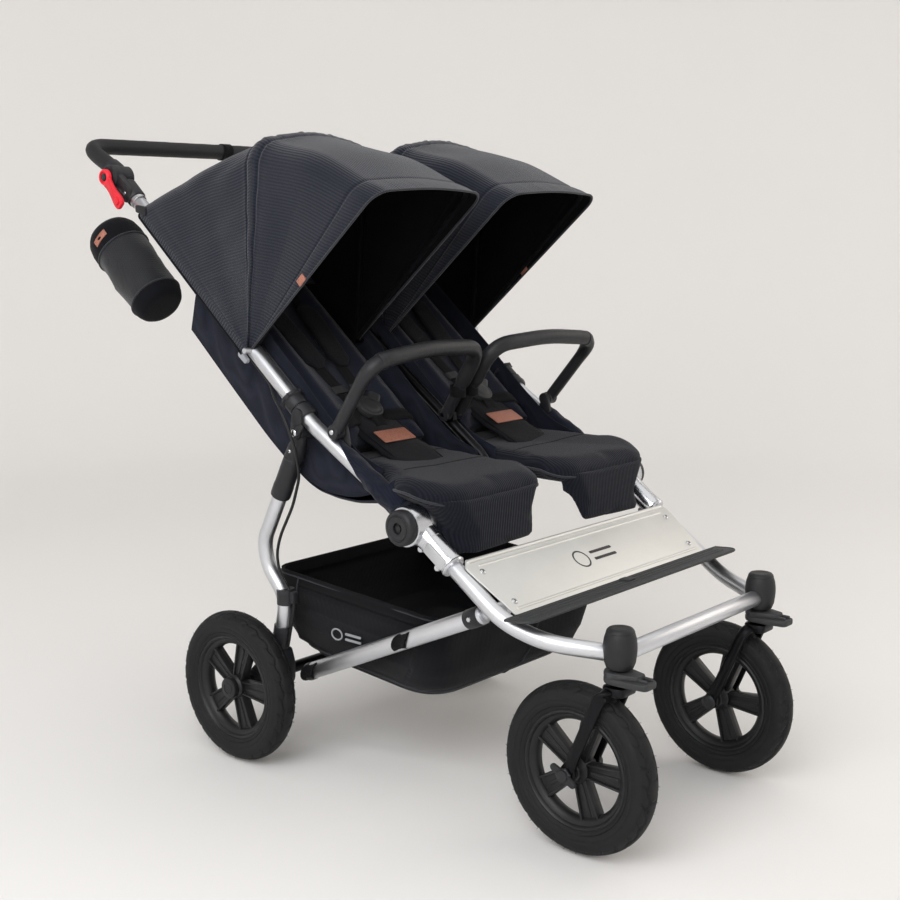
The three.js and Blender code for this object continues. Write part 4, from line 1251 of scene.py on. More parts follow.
def spine_geo():
    end = TUBE_X - TUBE_R
    made = Geo()
    for point in (SEAT_CROSS, BACK_CROSS):
        made.add(rod([at(-end + 1, point), at(end - 1, point)], 11, sides=28))
    made.add(rod([at(0, SEAT_CROSS), (0, -112, 520), at(0, BACK_CROSS)], 9, 15, 28))
    made.add(rod([at(-34, CANOPY_PIVOT), at(34, CANOPY_PIVOT)], 5, sides=16))
    made.add(rod([at(-27, BAR_PIVOT), at(27, BAR_PIVOT)], 4, sides=16))
    made.add(slab(link((BAR_PIVOT[0], BAR_PIVOT[1] - 18), BAR_PIVOT, 7, 7), side_view, -5, 5, 1))
    return made


HANDLE_START = (HANDLE_PIVOT[0] + 6, HANDLE_PIVOT[1] + 6)
HANDLE_TOP = (262, 614, 1044)


def handle_geo():
    x, y, z = HANDLE_TOP
    path = resampled(rounded([at(x - 4, HANDLE_START), (x, y, z), (-x, y, z), at(-x + 4, HANDLE_START)],
                             46), 12)
    made = sweep(path, oval(14.3, 14.3, 32), side=lambda i: (0.3, 0.5, 1),
                 grow=lambda i: 1 + 0.012 * math.sin(i * 2.3) * math.sin(i * 0.7))
    for g in (-1, 1):
        made.add(lathe([(247, 0), (247, 18.5), (248.5, 20), (267.6, 20), (269, 19), (269, 0)],
                       at(0, HANDLE_PIVOT), (g, 0, 0), 48, slot=1))
        boss = [Vector(at(g * 258, HANDLE_PIVOT)),
                Vector((g * 259, HANDLE_PIVOT[0] + 16, HANDLE_PIVOT[1] + 12)),
                Vector((g * 259.5, HANDLE_PIVOT[0] + 30, HANDLE_PIVOT[1] + 20))]
        made.add(sweep(boss, oval(15.6, 15.6, 32), slot=1))
    return made


def tether_geo():
    """Flat wrist tether looped round the grip."""
    x, y, z = 62, HANDLE_TOP[1], HANDLE_TOP[2]
    loop = [(x + 2 * math.sin(t), y + 15.6 * math.cos(t), z + 15.6 * math.sin(t)) for t in full_turn(40)]
    return sweep(loop, strap(22, 1.6), side=(1, 0, 0), loop=True)


LEVER_TIP = (467, 938)


def lever_geo():
    """Red brake lever: ring with a round recess, waisted arm, wider foot; a dark disc under the recess is
    painted shade in the gap round the pivot.
    """
    x0, x1 = 291, 300
    run = angle_of(HANDLE_PIVOT, LEVER_TIP)
    length = math.dist(HANDLE_PIVOT, LEVER_TIP)
    made = lathe([(x0, 7), (x0, 13), (x0 + 1, 14), (x1 - 2, 14), (x1, 12.4), (x1, 9.6), (x1 - 2.2, 8.8),
                  (x1 - 2.2, 7), (x0, 7)],
                 at(0, HANDLE_PIVOT), segments=40)
    widths = ((10, 10.5), (18, 9), (30, 8), (42, 9), (54, 11), (64, 11.5), (71, 10), (74, 6))
    edge = [towards(towards(HANDLE_PIVOT, run, d * length / 68), run + turn, w)
            for turn, row in ((math.pi / 2, widths), (-math.pi / 2, widths[::-1])) for d, w in row]
    made.add(slab(corner_rounded(edge, 3, 3), side_view, x0 + 0.5, x1 - 0.5, 2.4))
    foot = towards(HANDLE_PIVOT, run, length - 6)
    made.add(lathe(barrel(x1 - 2, x1 + 2.5, 6.5, 1.5), at(0, foot), segments=28))
    # Painted shade: a dark disc that shows through the ring's hole round the pivot boss.
    made.add(lathe([(x1 - 3.5, 0), (x1 - 3.5, 8.5), (x1 - 2.6, 8.5), (x1 - 2.6, 0)], at(0, HANDLE_PIVOT),
                   segments=28, slot=1))
    return made


def under_tube(u):
    return (tube_point(u)[0] + 17 * math.sin(UPPER_SLOPE), tube_point(u)[1] - 17 * math.cos(UPPER_SLOPE))


CABLE_R = 2.5
CABLE_CORNERS = [at(268, under_tube(520)), at(268, under_tube(110)), at(282, under_tube(78)), (294, 62, 612),
                 (295, 44, 584), (290, 34, 548), (274, 44, 505), (262, 74, 452), (261, 108, 395),
                 (260, 119, 362),
                 (259, 112, 328), (257, 79, 291), (255, 92, 240), (254, 103, 205)]


def make_upper_frame():
    body = "upper_frame"
    tube, bracket = upper_tube_geo(), pivot_bracket_geo()
    collar, joint = lock_collar_geo(), handle_joint_geo()
    for side, g in SIDES:
        dress(f"upper_tube_{side}", body, "frame_silver", tube, [M["silver"], M["joint"], M["steel"]], g)
        dress(f"pivot_bracket_{side}", body, "joint_plastic", bracket, [M["joint"], M["screw"], M["rim"]], g)
        dress(f"lock_collar_{side}", f"lock_collar_{side}", "joint_plastic", collar, M["joint"], g)
        dress(f"handle_joint_{side}", body, "joint_plastic", joint, [M["joint"], M["screw"], M["rim"]], g)
    dress("seat_spine", body, "fork_steel", spine_geo(), M["fork"])
    dress("handle_bar", "handle", "grip_foam", handle_geo(), [M["foam"], M["joint"]])
    extra("wrist_tether", "handle", "basket_fabric", tether_geo(), M["strap"])
    dress("brake_lever", "brake_lever", "brake_red", lever_geo(), [M["red"], M["rim"]], -1)


def make_cable():
    path = resampled(rounded(CABLE_CORNERS, 16, 6), 8)
    piece = build("brake_cable_look", sweep(path, oval(CABLE_R, CABLE_R, 12)), M["cable"], -1)
    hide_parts("brake_cable")
    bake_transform(piece)


# ------------------------------------------------------------------ soft part helpers
CLOTH_FRAMES = 20


def apply_modifiers(piece):
    graph = bpy.context.evaluated_depsgraph_get()
    mesh = bpy.data.meshes.new_from_object(piece.evaluated_get(graph))
    piece.modifiers.clear()
    piece.data = mesh


def puff(piece, voxel, cap, pressure=4.0):
    """Swells a padded piece: remesh, a short cloth run under pressure, a cap on how far it went."""
    remesh = piece.modifiers.new("remesh", "REMESH")
    remesh.mode = "VOXEL"
    remesh.voxel_size = voxel * MM
    apply_modifiers(piece)
    rest = [v.co.copy() for v in piece.data.vertices]
    cloth_ = piece.modifiers.new("cloth", "CLOTH")
    cloth_.settings.use_pressure = True
    cloth_.settings.uniform_pressure_force = pressure
    cloth_.settings.effector_weights.gravity = 0
    cloth_.settings.quality = 4
    cloth_.point_cache.frame_start = 1
    cloth_.point_cache.frame_end = CLOTH_FRAMES
    for number in range(1, CLOTH_FRAMES + 1):
        bpy.context.scene.frame_set(number)
    apply_modifiers(piece)
    for vertex, start in zip(piece.data.vertices, rest):
        move = vertex.co - start
        if move.length > cap * MM:
            vertex.co = start + move.normalized() * cap * MM
    bpy.context.scene.frame_set(1)
    relax = piece.modifiers.new("relax", "SMOOTH")
    relax.iterations = 4
    relax.factor = 0.5
    finer = piece.modifiers.new("finer", "SUBSURF")
    finer.levels = finer.render_levels = 1
    apply_modifiers(piece)
    for polygon in piece.data.polygons:
        polygon.use_smooth = True


def mirror_mesh(source, name):
    """The same mesh on the other side of x = 0."""
    made = linked(name, source.data.copy())
    bm = bmesh.new()
    bm.from_mesh(made.data)
    for vertex in bm.verts:
        vertex.co.x = -vertex.co.x
    bmesh.ops.reverse_faces(bm, faces=bm.faces)
    bm.to_mesh(made.data)
    bm.free()
    return made


def to_design(v):
    return Vector((v.x / MM, v.y / MM - SHIFT_Y, v.z / MM))


def settle(piece, points, direction, lift=0.0, reach=90):
    """Moves design points along direction onto the skin of the piece, then lifts them off it."""
    way = Vector(direction).normalized()
    made = []
    for p in points:
        start = place(Vector(p) - way * reach)
        hit, where, normal, _ = piece.ray_cast(start, way, distance=2 * reach * MM)
        made.append(to_design(where) + normal * lift if hit else Vector(p))
    return made


def eased(points, times=2):
    """Evens out small jumps in a line of points."""
    points = list(points)
    for _ in range(times):
        points = [points[0]] + [(a + b * 2 + c) / 4 for a, b,
                                c in zip(points, points[1:], points[2:])] + [points[-1]]
    return points


def ripple(*terms):
    """Sum of sines: each term is (size, phase)."""
    return sum(size * math.sin(phase) for size, phase in terms)


# ------------------------------------------------------------------ canopies
REAR_EDGE, MID_BOW, FRONT_EDGE = 40, 94, 139
SKIRT = 14
BOW_UNDER = 4.6
BLEND_REACH, RIB_RUN_R = 276, 340
TAG_AT, CLIP_AT, SOCKET_DROP = 172, 352, 17
CANOPY_IN, CANOPY_OUT = 30, 286
CANOPY_FOOT = 6
RADIUS_AT = ((REAR_EDGE, 366), (MID_BOW, 350), (FRONT_EDGE, 391))
CORNER_AT = ((REAR_EDGE, 16), (62, 26), (MID_BOW, 40), (FRONT_EDGE, 31))
CROWN_AT = ((REAR_EDGE, 5), (MID_BOW, 10), (FRONT_EDGE, 6))
NARROW_AT = ((REAR_EDGE, 0), (MID_BOW, 2), (FRONT_EDGE, 7))
BULGE_AT = ((REAR_EDGE, 0), (66, 5), (MID_BOW - 1, 0), (117, 12), (FRONT_EDGE, 0))


def chord(theta):
    """Radius of cloth pulled straight between two neighbouring bows."""
    for (a, ra), (b, rb) in zip(RADIUS_AT, RADIUS_AT[1:]):
        if theta <= b:
            span = math.radians(b - a)
            return math.sin(span) / (math.sin(math.radians(b - theta)) / ra
                                     + math.sin(math.radians(theta - a)) / rb)
    return RADIUS_AT[-1][1]


def arch_section(theta, count_side=18, count_corner=10, count_top=26):
    """Outline across the canopy at one angle, outer foot to inner foot: (x, radius, outward)."""
    radius = chord(theta) + along_table(BULGE_AT, theta)
    corner = along_table(CORNER_AT, theta)
    crown = along_table(CROWN_AT, theta)
    narrow = along_table(NARROW_AT, theta)
    between = min(abs(theta - a) for a, _ in RADIUS_AT) / 27
    pull = 4 * smooth(between)
    outer, inner = CANOPY_OUT - narrow, CANOPY_IN + narrow * 0.5
    top = radius - crown
    points = []
    for t in spread(0, 1, count_side)[:-1]:
        r = CANOPY_FOOT + (top - corner - CANOPY_FOOT) * t
        points.append((outer - pull * math.sin(math.pi * t ** 1.5), r, (1, 0)))
    for t in spread(0, math.pi / 2, count_corner):
        points.append((outer - corner + corner * math.cos(t), top - corner + corner * math.sin(t),
                       (math.cos(t), math.sin(t))))
    a, b = outer - corner, inner + corner
    for t in spread(0, 1, count_top)[1:-1]:
        points.append((a + (b - a) * t, top + crown * math.sin(math.pi * t), (0, 1)))
    for t in spread(math.pi / 2, math.pi, count_corner):
        points.append((inner + corner + corner * math.cos(t), top - corner + corner * math.sin(t),
                       (math.cos(t), math.sin(t))))
    for t in spread(1, 0, count_side)[1:]:
        r = CANOPY_FOOT + (top - corner - CANOPY_FOOT) * t
        points.append((inner + pull * math.sin(math.pi * t ** 1.5), r, (-1, 0)))
    return points


def bell(x, middle, half):
    d = abs(x - middle) / half
    return 1 - smooth(d) if d < 1 else 0.0


def canopy_relief(theta, x, r, run):
    """How far the cloth stands off its smooth form: bow band, seams, hem, puckers and pull wrinkles."""
    rise = 2.6 * bell(theta, MID_BOW, 5.2) + 1.3 * bell(theta, FRONT_EDGE - 3, 3.6)
    for seam in (MID_BOW - 2.6, MID_BOW + 2.6):
        rise -= 2.2 * bell(theta, seam, 0.8)
    rise -= 1.5 * bell(theta, FRONT_EDGE - 6.2, 0.7)
    rise -= 1.0 * bell(theta, REAR_EDGE + 4, 0.7)
    gathered = bell(theta, MID_BOW, 7.5)
    rise += gathered * ripple((0.75, run / 2.1), (0.5, run / 3.7 + 1), (0.4, run / 6.1 + theta))
    rise += bell(theta, FRONT_EDGE - 3, 4) * ripple((0.35, run / 3.1), (0.3, run / 7))
    high = smooth((r - 90) / 120)
    # Folds that fan from the mid bow's shoulder towards the rear corner.
    side_y, side_z = r * math.cos(math.radians(theta)), r * math.sin(math.radians(theta))
    across = side_y * 0.42 + side_z * 0.9
    fade = bell(theta, 76, 19) * high
    rise += fade * ripple((1.5, across / 9.5), (0.9, across / 5.2 + 0.8), (0.7, side_y / 23))
    rise += bell(theta, 112, 20) * high * ripple((0.9, across / 27 + x / 40), (0.6, side_y / 21 + x / 33))
    rise += bell(theta, 55, 16) * ripple((0.8, side_y / 24 + x / 60), (0.5, across / 13))
    return rise


def canopy_point(theta, section, index, run):
    """Angles below the rear edge are the skirt that covers the tube: so many mm past that edge."""
    x, r, (ox, oz) = section[index]
    skirt = max(0.0, REAR_EDGE - theta)
    turn = math.radians(theta + skirt)
    lift = canopy_relief(theta, x, r, run)
    y, z = towards(CANOPY_PIVOT, turn, r + oz * lift)
    return (x + ox * lift, y + skirt * math.sin(turn), z - skirt * math.cos(turn))


def canopy_angles():
    bows = spread(REAR_EDGE - SKIRT, REAR_EDGE, 6) + spread(REAR_EDGE, FRONT_EDGE, 110)
    close = [MID_BOW + d for d in (-4.4, -3.4, -3.0, -2.6, -2.2, -1.8, 1.8, 2.2, 2.6, 3.0, 3.4, 4.4)]
    hem = [FRONT_EDGE - d for d in (7.0, 6.6, 6.2, 5.8, 5.4)]
    return sorted(set(bows + close + hem))


def canopy_geo():
    angles = canopy_angles()
    sections = [arch_section(max(t, REAR_EDGE)) for t in angles]
    count = len(sections[0])
    runs = [0.0]
    for a, b in zip(sections[50], sections[50][1:]):
        runs.append(runs[-1] + math.hypot(b[0] - a[0], b[1] - a[1]))

    def f(i, j):
        return canopy_point(angles[i], sections[i], j, runs[j])

    made = surface(lambda j, i: f(i, j), range(count), range(len(angles)), -1.5, 0, 1)
    # The ribs run from back to front, so u is the run across the canopy, the same at every angle.
    for skin in (0, count * len(angles)):
        for j in range(count):
            for i, theta in enumerate(angles):
                made.uv[skin + j * len(angles) + i] = (runs[j], math.radians(theta) * RIB_RUN_R)
    return made, angles, sections, runs


def canopy_edge(angles, sections, runs, which):
    """The line of points along the front (-1) or rear (0) edge of the cloth."""
    return [Vector(canopy_point(angles[which], sections[which], j, runs[j])) for j in range(len(runs))]


def make_canopy(side, g, cloth_geo, angles, sections, runs):
    body, canopy = "upper_frame", f"canopy_{side}"
    a = math.radians(REAR_EDGE)

    def joins(piece, slot="canopy_fabric"):
        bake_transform(piece)
        return piece

    hood = joins(build(f"canopy_{side}_cloth", cloth_geo, [M["canopy"], M["lining"]], g, 80))
    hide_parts(f"canopy_rear_{side}", f"canopy_front_{side}")
    # Piping along the front hem, and the binding of the rear edge.
    front = eased(canopy_edge(angles, sections, runs, -1), 1)
    joins(build(f"canopy_{side}_piping", sweep(front, oval(1.9, 1.9, 10)), M["piping"], g, 80))
    rear = eased(canopy_edge(angles, sections, runs, 0), 1)
    joins(build(f"canopy_{side}_binding", sweep(rear, oval(2.2, 2.2, 10)), M["hem"], g, 80))
    # The bows show from inside as sleeves sewn under the cloth.
    for number, theta in enumerate((MID_BOW, FRONT_EDGE - 3)):
        i = min(range(len(angles)), key=lambda k: abs(angles[k] - theta))
        bow = []
        for x, r, (ox, oz) in sections[i]:
            y, z = towards(CANOPY_PIVOT, math.radians(theta), r - oz * BOW_UNDER)
            bow.append((x - ox * BOW_UNDER, y, z))
        joins(build(f"canopy_{side}_bow_{number}", sweep(bow, oval(3.8, 3.8, 12)), M["lining"], g, 80))
    # Copper tag sewn over the front hem of the outer wall.
    theta = math.radians(FRONT_EDGE - 1.9)
    along_ = Vector((0, math.cos(theta), math.sin(theta)))
    across = Vector((0, -math.sin(theta), math.cos(theta)))
    middle = Vector(at(CANOPY_OUT - 5.6, towards(CANOPY_PIVOT, theta, TAG_AT)))
    tag = slab(corner_rounded([(-9, -6), (9, -6), (9, 6), (-9, 6)], 1, 3),
               lambda u, v, h: middle + along_ * u + across * v + Vector((h, 0, 0)), -3, 1.6, 0.4)
    joins(build(f"canopy_{side}_tag", tag, M["copper"], g), "bumper_leatherette")
    # Pale end of the bow's socket, just below the point of the hood.
    low = towards(CANOPY_PIVOT, a - math.pi / 2, SOCKET_DROP)
    tab = slab(link(towards(low, a, -6), towards(low, a, 9), 4.5, 5.5), side_view, 279, 287, 1.6)
    extra(f"canopy_{side}_socket", body, "joint_plastic", tab, M["socket"], g)
    # Snap clip that holds the rear corner to the tube.
    y, z = towards(CANOPY_PIVOT, a, CLIP_AT)
    clip = slab(corner_rounded([(y - 15, z - 10), (y + 13, z - 4), (y + 13, z + 9), (y - 15, z + 5)], 4, 4),
                side_view, 282, 290, 2)
    extra(f"canopy_{side}_clip", body, "joint_plastic", clip, M["joint"], g)


# ------------------------------------------------------------------ seats
SEAT_MID = 142
# Voxel and cap in millimetres for each padded piece.
CUSHION_PUFF, BACK_PUFF, CALF_PUFF = (5.5, 7), (6, 8), (4.5, 4)
CUSHION_BENDS = [12, 32, 30, 44, 34, 26, 40, 12]


def cushion_geo():
    """Seat cushion before it swells: narrow between the tubes, wide rounded nose in front of them."""
    plan = corner_rounded([(15, 36), (13, -238), (40, -272), (248, -275), (291, -234), (290, -174),
                           (254, -120), (247, 36)],
                          CUSHION_BENDS, 8)

    def droop(y):
        return 15 * smooth((-195 - y) / 75)

    def placed(x, y, h):
        edge = max(0.0, abs(x - 146) - 96)
        return (x, y, h - droop(y) - 0.05 * edge)

    return slab(plan, placed, 503, 531, 12, layers=3)


def back_front(y):
    return 562 + (y + 40) * 0.82


def back_geo():
    """Seat back before it swells, a padded shell with raised sides."""
    front = [(-34, 556), (40, 620), (120, 686), (200, 752), (270, 808), (300, 826), (320, 818)]
    rear = [(14, 518), (84, 518), (164, 574), (244, 644), (314, 704), (340, 738), (350, 762)]
    across = [(45, 0.0), (53, -0.06), (68, 0.0), (100, 0.13), (142, 0.16), (184, 0.13), (216, 0.0),
              (231, -0.06), (239, 0.0)]
    points = []
    for (fy, fz), (ry, rz) in zip(front, rear):
        points += [(x, fy + (ry - fy) * k, fz + (rz - fz) * k) for x, k in across]
        points += [(x, ry - (ry - fy) * 0.02, rz - (rz - fz) * 0.02) for x, _ in reversed(across)]
    m = 2 * len(across)
    ends = [tuple(range(m)), tuple(range(len(points) - m, len(points)))]
    return Geo(points, ring_faces(len(front), m) + ends)


CALF_LENGTH = 91
CALF_TOP = ((262, -166, 512), (274, -232, 508), (248, -258, 505), (52, -257, 506), (34, -238, 509))


def calf_geo():
    """Flap before it swells: hangs from the cushion's nose and wraps back to the hub on its outer side."""
    path = resampled(rounded(CALF_TOP, 24), 8)
    last = len(path) - 1

    def f(u, v):
        p, share = path[u], u / last
        depth = CALF_LENGTH * min(1, 0.08 + share / 0.31) * (1 - 0.5 * smooth((share - 0.82) / 0.18))
        if share > 0.31:
            depth -= 7 * (1 - math.sin(math.pi * min(1, (share - 0.31) / 0.55)) ** 0.4)
        lean = (0.25 if p.x > SEAT_MID else 0.12) * min(1, v / 0.6)
        return (p.x + (SEAT_MID - p.x) * lean, p.y - 9 * v * math.sin(math.pi * share), p.z - depth * v)

    return surface(f, range(len(path)), spread(0, 1, 12), 9)


def soft_section(w, t, square_w, square_t, count):
    """Oblong section of half width w and half thickness t; smaller powers give squarer ends."""
    def bent(value, power):
        return math.copysign(abs(value) ** power, value)

    return [(w * bent(math.cos(a), square_w), t * bent(math.sin(a), square_t)) for a in full_turn(count)]


def pad_geo(path, width, thickness, side=(1, 0, 0)):
    """Long soft pad along a path, thinner at its ends and sides."""
    section = soft_section(width / 2, thickness / 2, 0.45, 0.8, 28)
    last = len(path) - 1

    def grow(i):
        end = min(i, last - i) / max(1, last * 0.12)
        return 0.45 + 0.55 * smooth(end) if end < 1 else 1

    return sweep(path, section, side=side, grow=grow)


BACK_INTO = (0, 0.634, -0.773)


def harness(back, side, g):
    """Straps with pads and the round buckle, laid on the skin of the seat back."""
    body = f"seat_back_{side}"
    mid = SEAT_MID * g

    def line(points, lift, skin=back, way=BACK_INTO):
        return eased(settle(skin, points, way, lift), 3)

    def run(a, b, count=24):
        return [tuple(Vector(a).lerp(Vector(b), t)) for t in spread(0, 1, count)]

    straps, pads, hard = Geo(), Geo(), Geo()
    for h in (-1, 1):
        top = (mid + h * 42, 236, back_front(236))
        low = (mid + h * 16, 22, back_front(22))
        full = line(run(top, low, 34), 2.0)
        straps.add(sweep(full, strap(24, 1.8), side=(1, 0, 0)))
        pads.add(pad_geo(line(run((mid + h * 41, 212, back_front(212)), (mid + h * 27, 96, back_front(96)),
                                  20), 5.5), 46, 10))
        straps.add(sweep(line(run((mid + h * 16, 8, back_front(8)), (mid + h * 92, -8, back_front(-8)), 18),
                              2.6),
                         strap(24, 1.8), side=(0, 0.77, 0.63)))
        slider = line([(mid + h * 22, 62, back_front(62)), (mid + h * 21, 50, back_front(50))], 4)
        hard.add(sweep(slider, strap(32, 4), side=(1, 0, 0)))
    crotch = line(run((mid, 6, back_front(6)), (mid, -30, back_front(-30)), 10), 12)
    straps.add(sweep(crotch, strap(26, 2), side=(1, 0, 0)))
    extra(f"harness_{side}_straps", body, "basket_fabric", straps, M["strap"])
    pad = extra(f"harness_{side}_pads", body, "seat_fabric", pads, M["panel"])
    centre = line([(mid, 14, back_front(14))] * 3, 13)[1]
    normal = -Vector(BACK_INTO)
    buckle = lathe([(-6, 0), (-6, 21), (-4, 23.5), (2, 24), (5, 22.5), (6.5, 19), (6, 17), (7, 15.5),
                    (7.6, 8), (7.6, 0)],
                   centre, normal, 48)
    hard.add(buckle)
    for h in (-1, 1):
        prong = [centre + Vector((h * 14, 6, 5)), centre + Vector((h * 34, 22, 17))]
        hard.add(sweep(prong, strap(20, 7), side=(1, 0, 0)))
    extra(f"harness_{side}_buckle", body, "joint_plastic", hard, M["disc"])


def centre_panel(side, g):
    """Panel from the buckle down to the cushion, with a copper patch."""
    mid = SEAT_MID * g

    def joins(name, slot, geo, material):
        piece = build(name, geo, material)
        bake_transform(piece)
        return piece

    side_line = [(46, 615), (14, 591), (-20, 572), (-50, 557), (-76, 545), (-100, 534), (-114, 526)]
    path = resampled(rounded([(mid, y, z) for y, z in side_line], 20), 7)
    last = len(path) - 1
    section = soft_section(55, 3.4, 0.35, 0.7, 40)
    panel = sweep(path, section, side=(1, 0, 0),
                  grow=lambda i: 0.86 + 0.14 * math.sin(math.pi * i / last) ** 0.5)
    for i, (x, y, z) in enumerate(panel.points):
        panel.points[i] = (x, y, z + ripple((1.1, x / 15 + y / 21),
                                            (0.8, y / 9 - x / 30)) - 0.0016 * (x - mid) ** 2)
    piece = joins(f"centre_panel_{side}", "seat_fabric", panel, M["panel"])
    for h in (-1, 1):
        edge = [p + Vector((h * 46, -1.6, -0.6)) for p in path[1:-1]]
        stitch = sweep(edge, oval(1.0, 1.0, 8))
        joins(f"centre_panel_{side}_seam_{'in' if h * g < 0 else 'out'}", "seat_fabric", stitch, M["hem"])
    a, b = Vector((mid, -26, 569)), Vector((mid, -54, 555))
    along_ = (b - a).normalized()
    out = Vector((0, along_.z, -along_.y)) * -1
    out = out if out.z > 0 else -out
    middle = (a + b) / 2 + out * 4.4
    shape = corner_rounded([(-36, -16), (36, -16), (36, 16), (-36, 16)], 3, 4)
    patch = slab(shape, lambda u, v, h: middle + Vector((u, 0, 0)) + along_ * v + out * h, 0, 1.5, 0.5)
    joins(f"centre_patch_{side}", "bumper_leatherette", patch, M["copper"])


def seat_sleeve():
    """Cloth wrapped round the tube from the bumper bar's foot to the hub, its upper end cut on the slant."""
    start = towards(HUB, LOWER_SLOPE, 24)
    run = math.dist(start, TUBE_BEND)
    c, s = math.cos(LOWER_SLOPE), math.sin(LOWER_SLOPE)
    stations = spread(0, 1, 34)
    around = full_turn(36)

    def f(a, t):
        # The cloth reaches further up on the side that faces the seat.
        reach = run * (0.36 + 0.42 * (0.5 - 0.5 * math.cos(a + 1.05)))
        d = reach * t
        swell = 15.4 + 5.5 * smooth((0.25 - t) / 0.25) + 1.6 * math.sin(math.pi * min(1, t * 1.2))
        swell += ripple((0.7, d / 5 + a * 2), (0.6, d / 9 - a * 3), (0.5, a * 5 + d / 14))
        if t > 0.97:
            swell -= 1.6
        out, up = math.cos(a) * swell, math.sin(a) * swell
        return (TUBE_X + out, start[0] + d * c - up * s, start[1] + d * s + up * c)

    return surface(f, around, stations, 1.2, closed_u=True)


def sleeve_flap():
    """Loose end of the sleeve above the hub, with a hem."""
    def f(u, v):
        a = -2.3 + 4.6 * u
        d = 34 + 34 * v
        r = 23 + 4 * v + ripple((1.2, 4 * a + v * 3), (0.8, 7 * a))
        y, z = towards(HUB, LOWER_SLOPE + 0.12, d)
        up, out = math.cos(a) * r, -math.sin(a) * r * 0.82
        return (TUBE_X - 4 + out, y - up * math.sin(LOWER_SLOPE), z + up * math.cos(LOWER_SLOPE) - 1)

    return surface(f, spread(0, 1, 30), spread(0, 1, 16), 1.6)


def bucket_geo():
    """The seat's underside: a sagging cloth trough that closes the seat between the tubes."""
    profile = [(-118, 506), (-112, 484), (-100, 472), (-60, 465), (-10, 466), (40, 474), (74, 492),
               (112, 524), (158, 564)]
    path = resampled(rounded([(0, y, z) for y, z in profile], 16), 9)

    def f(u, v):
        p = path[v]
        x = 24 + (244 - 24) * u
        sag = 5 * math.sin(math.pi * u) * math.sin(math.pi * v / (len(path) - 1))
        fold = ripple((1.1, p.y / 11 + u * 9), (0.8, u * 31 + p.y / 23),
                      (0.7, p.y / 6)) * math.sin(math.pi * u)
        lift = 9 * (1 - math.sin(math.pi * u) ** 0.35)
        return (x, p.y, p.z - sag + fold + lift)

    return surface(f, spread(0, 1, 40), range(len(path)), 1.5)


def side_wall_geo(x, bulge):
    """Cloth wall between cushion, tube and seat back; bulge is how far it stands out in x."""
    low = [(-118, 500), (-60, 480), (10, 480), (80, 508), (146, 556), (216, 616), (276, 668), (340, 724)]
    high = [(-118, 534), (-66, 552), (0, 604), (56, 656), (114, 706), (184, 764), (244, 814), (300, 846)]
    lower = resampled(rounded([(0, y, z) for y, z in low], 30), 10)
    count = len(lower)
    upper_path = resampled(rounded([(0, y, z) for y, z in high], 30), 5)

    def f(u, v):
        a = lower[v]
        b = upper_path[round(v * (len(upper_path) - 1) / (count - 1))]
        p = a.lerp(b, u)
        crease = ripple((1.3, p.y / 17 + u * 4), (0.9, p.y / 9 - u * 5), (0.8, u * 7 + p.y / 40))
        return (x + math.sin(math.pi * u) * (bulge + crease * 0.8), p.y, p.z)

    return surface(f, spread(0, 1, 22), range(count), -1.3 if bulge > 0 else 1.3)


def curtain_geo():
    """Cloth from the top of the seat back up to the rear cross tube."""
    path = resampled([(0, 258, 798), (0, 300, 832), (0, 330, 846), (0, 428, 925)], 8)
    last = len(path) - 1

    def f(u, v):
        p, share = path[v], v / last
        sag = 11 * math.sin(math.pi * share) * math.sin(math.pi * u) ** 0.6
        fold = ripple((1.2, u * 17 + share * 4), (0.9, u * 8),
                      (0.9, share * 9)) * math.sin(math.pi * share) ** 0.5
        return (14 + (258 - 14) * u, p.y, p.z - sag + fold)

    return surface(f, spread(0, 1, 44), range(len(path)), 1.4)


def cushion_trim(piece, side, g):
    """Piping round the cushion's top edge and two sewn channels across it."""
    plan = corner_rounded([(13, 40), (11, -240), (38, -276), (250, -279), (294, -236), (293, -172),
                           (256, -118), (249, 40)],
                          CUSHION_BENDS, 8)
    middle = Vector((146, -110, 510))
    rim = []
    for x, y in plan:
        p = Vector((x, y, 512 - 15 * smooth((-195 - y) / 75)))
        way = (middle - p)
        way.z = 0
        rim.append((p, way.normalized()))
    points = []
    for p, way in rim:
        q = Vector((p.x * g, p.y, p.z))
        w = Vector((way.x * g, way.y, 0))
        points += settle(piece, [tuple(q)], tuple(w), 0.8, 70)
    line = sweep(eased(points, 1), oval(2.1, 2.1, 10), loop=True)
    trim = build(f"cushion_{side}_piping", line, M["piping"])
    seams = Geo()
    for y in (-150, -60):
        across = [(x * g, y + 10 * math.sin((x - 20) / 226 * math.pi), 560) for x in spread(34, 234, 40)]
        seams.add(sweep(eased(settle(piece, across, (0, 0, -1), -0.2), 2), oval(1.0, 1.0, 8)))
    seam = build(f"cushion_{side}_seams", seams, M["hem"])
    return [wear(made, "upper_frame") for made in (trim, seam)]


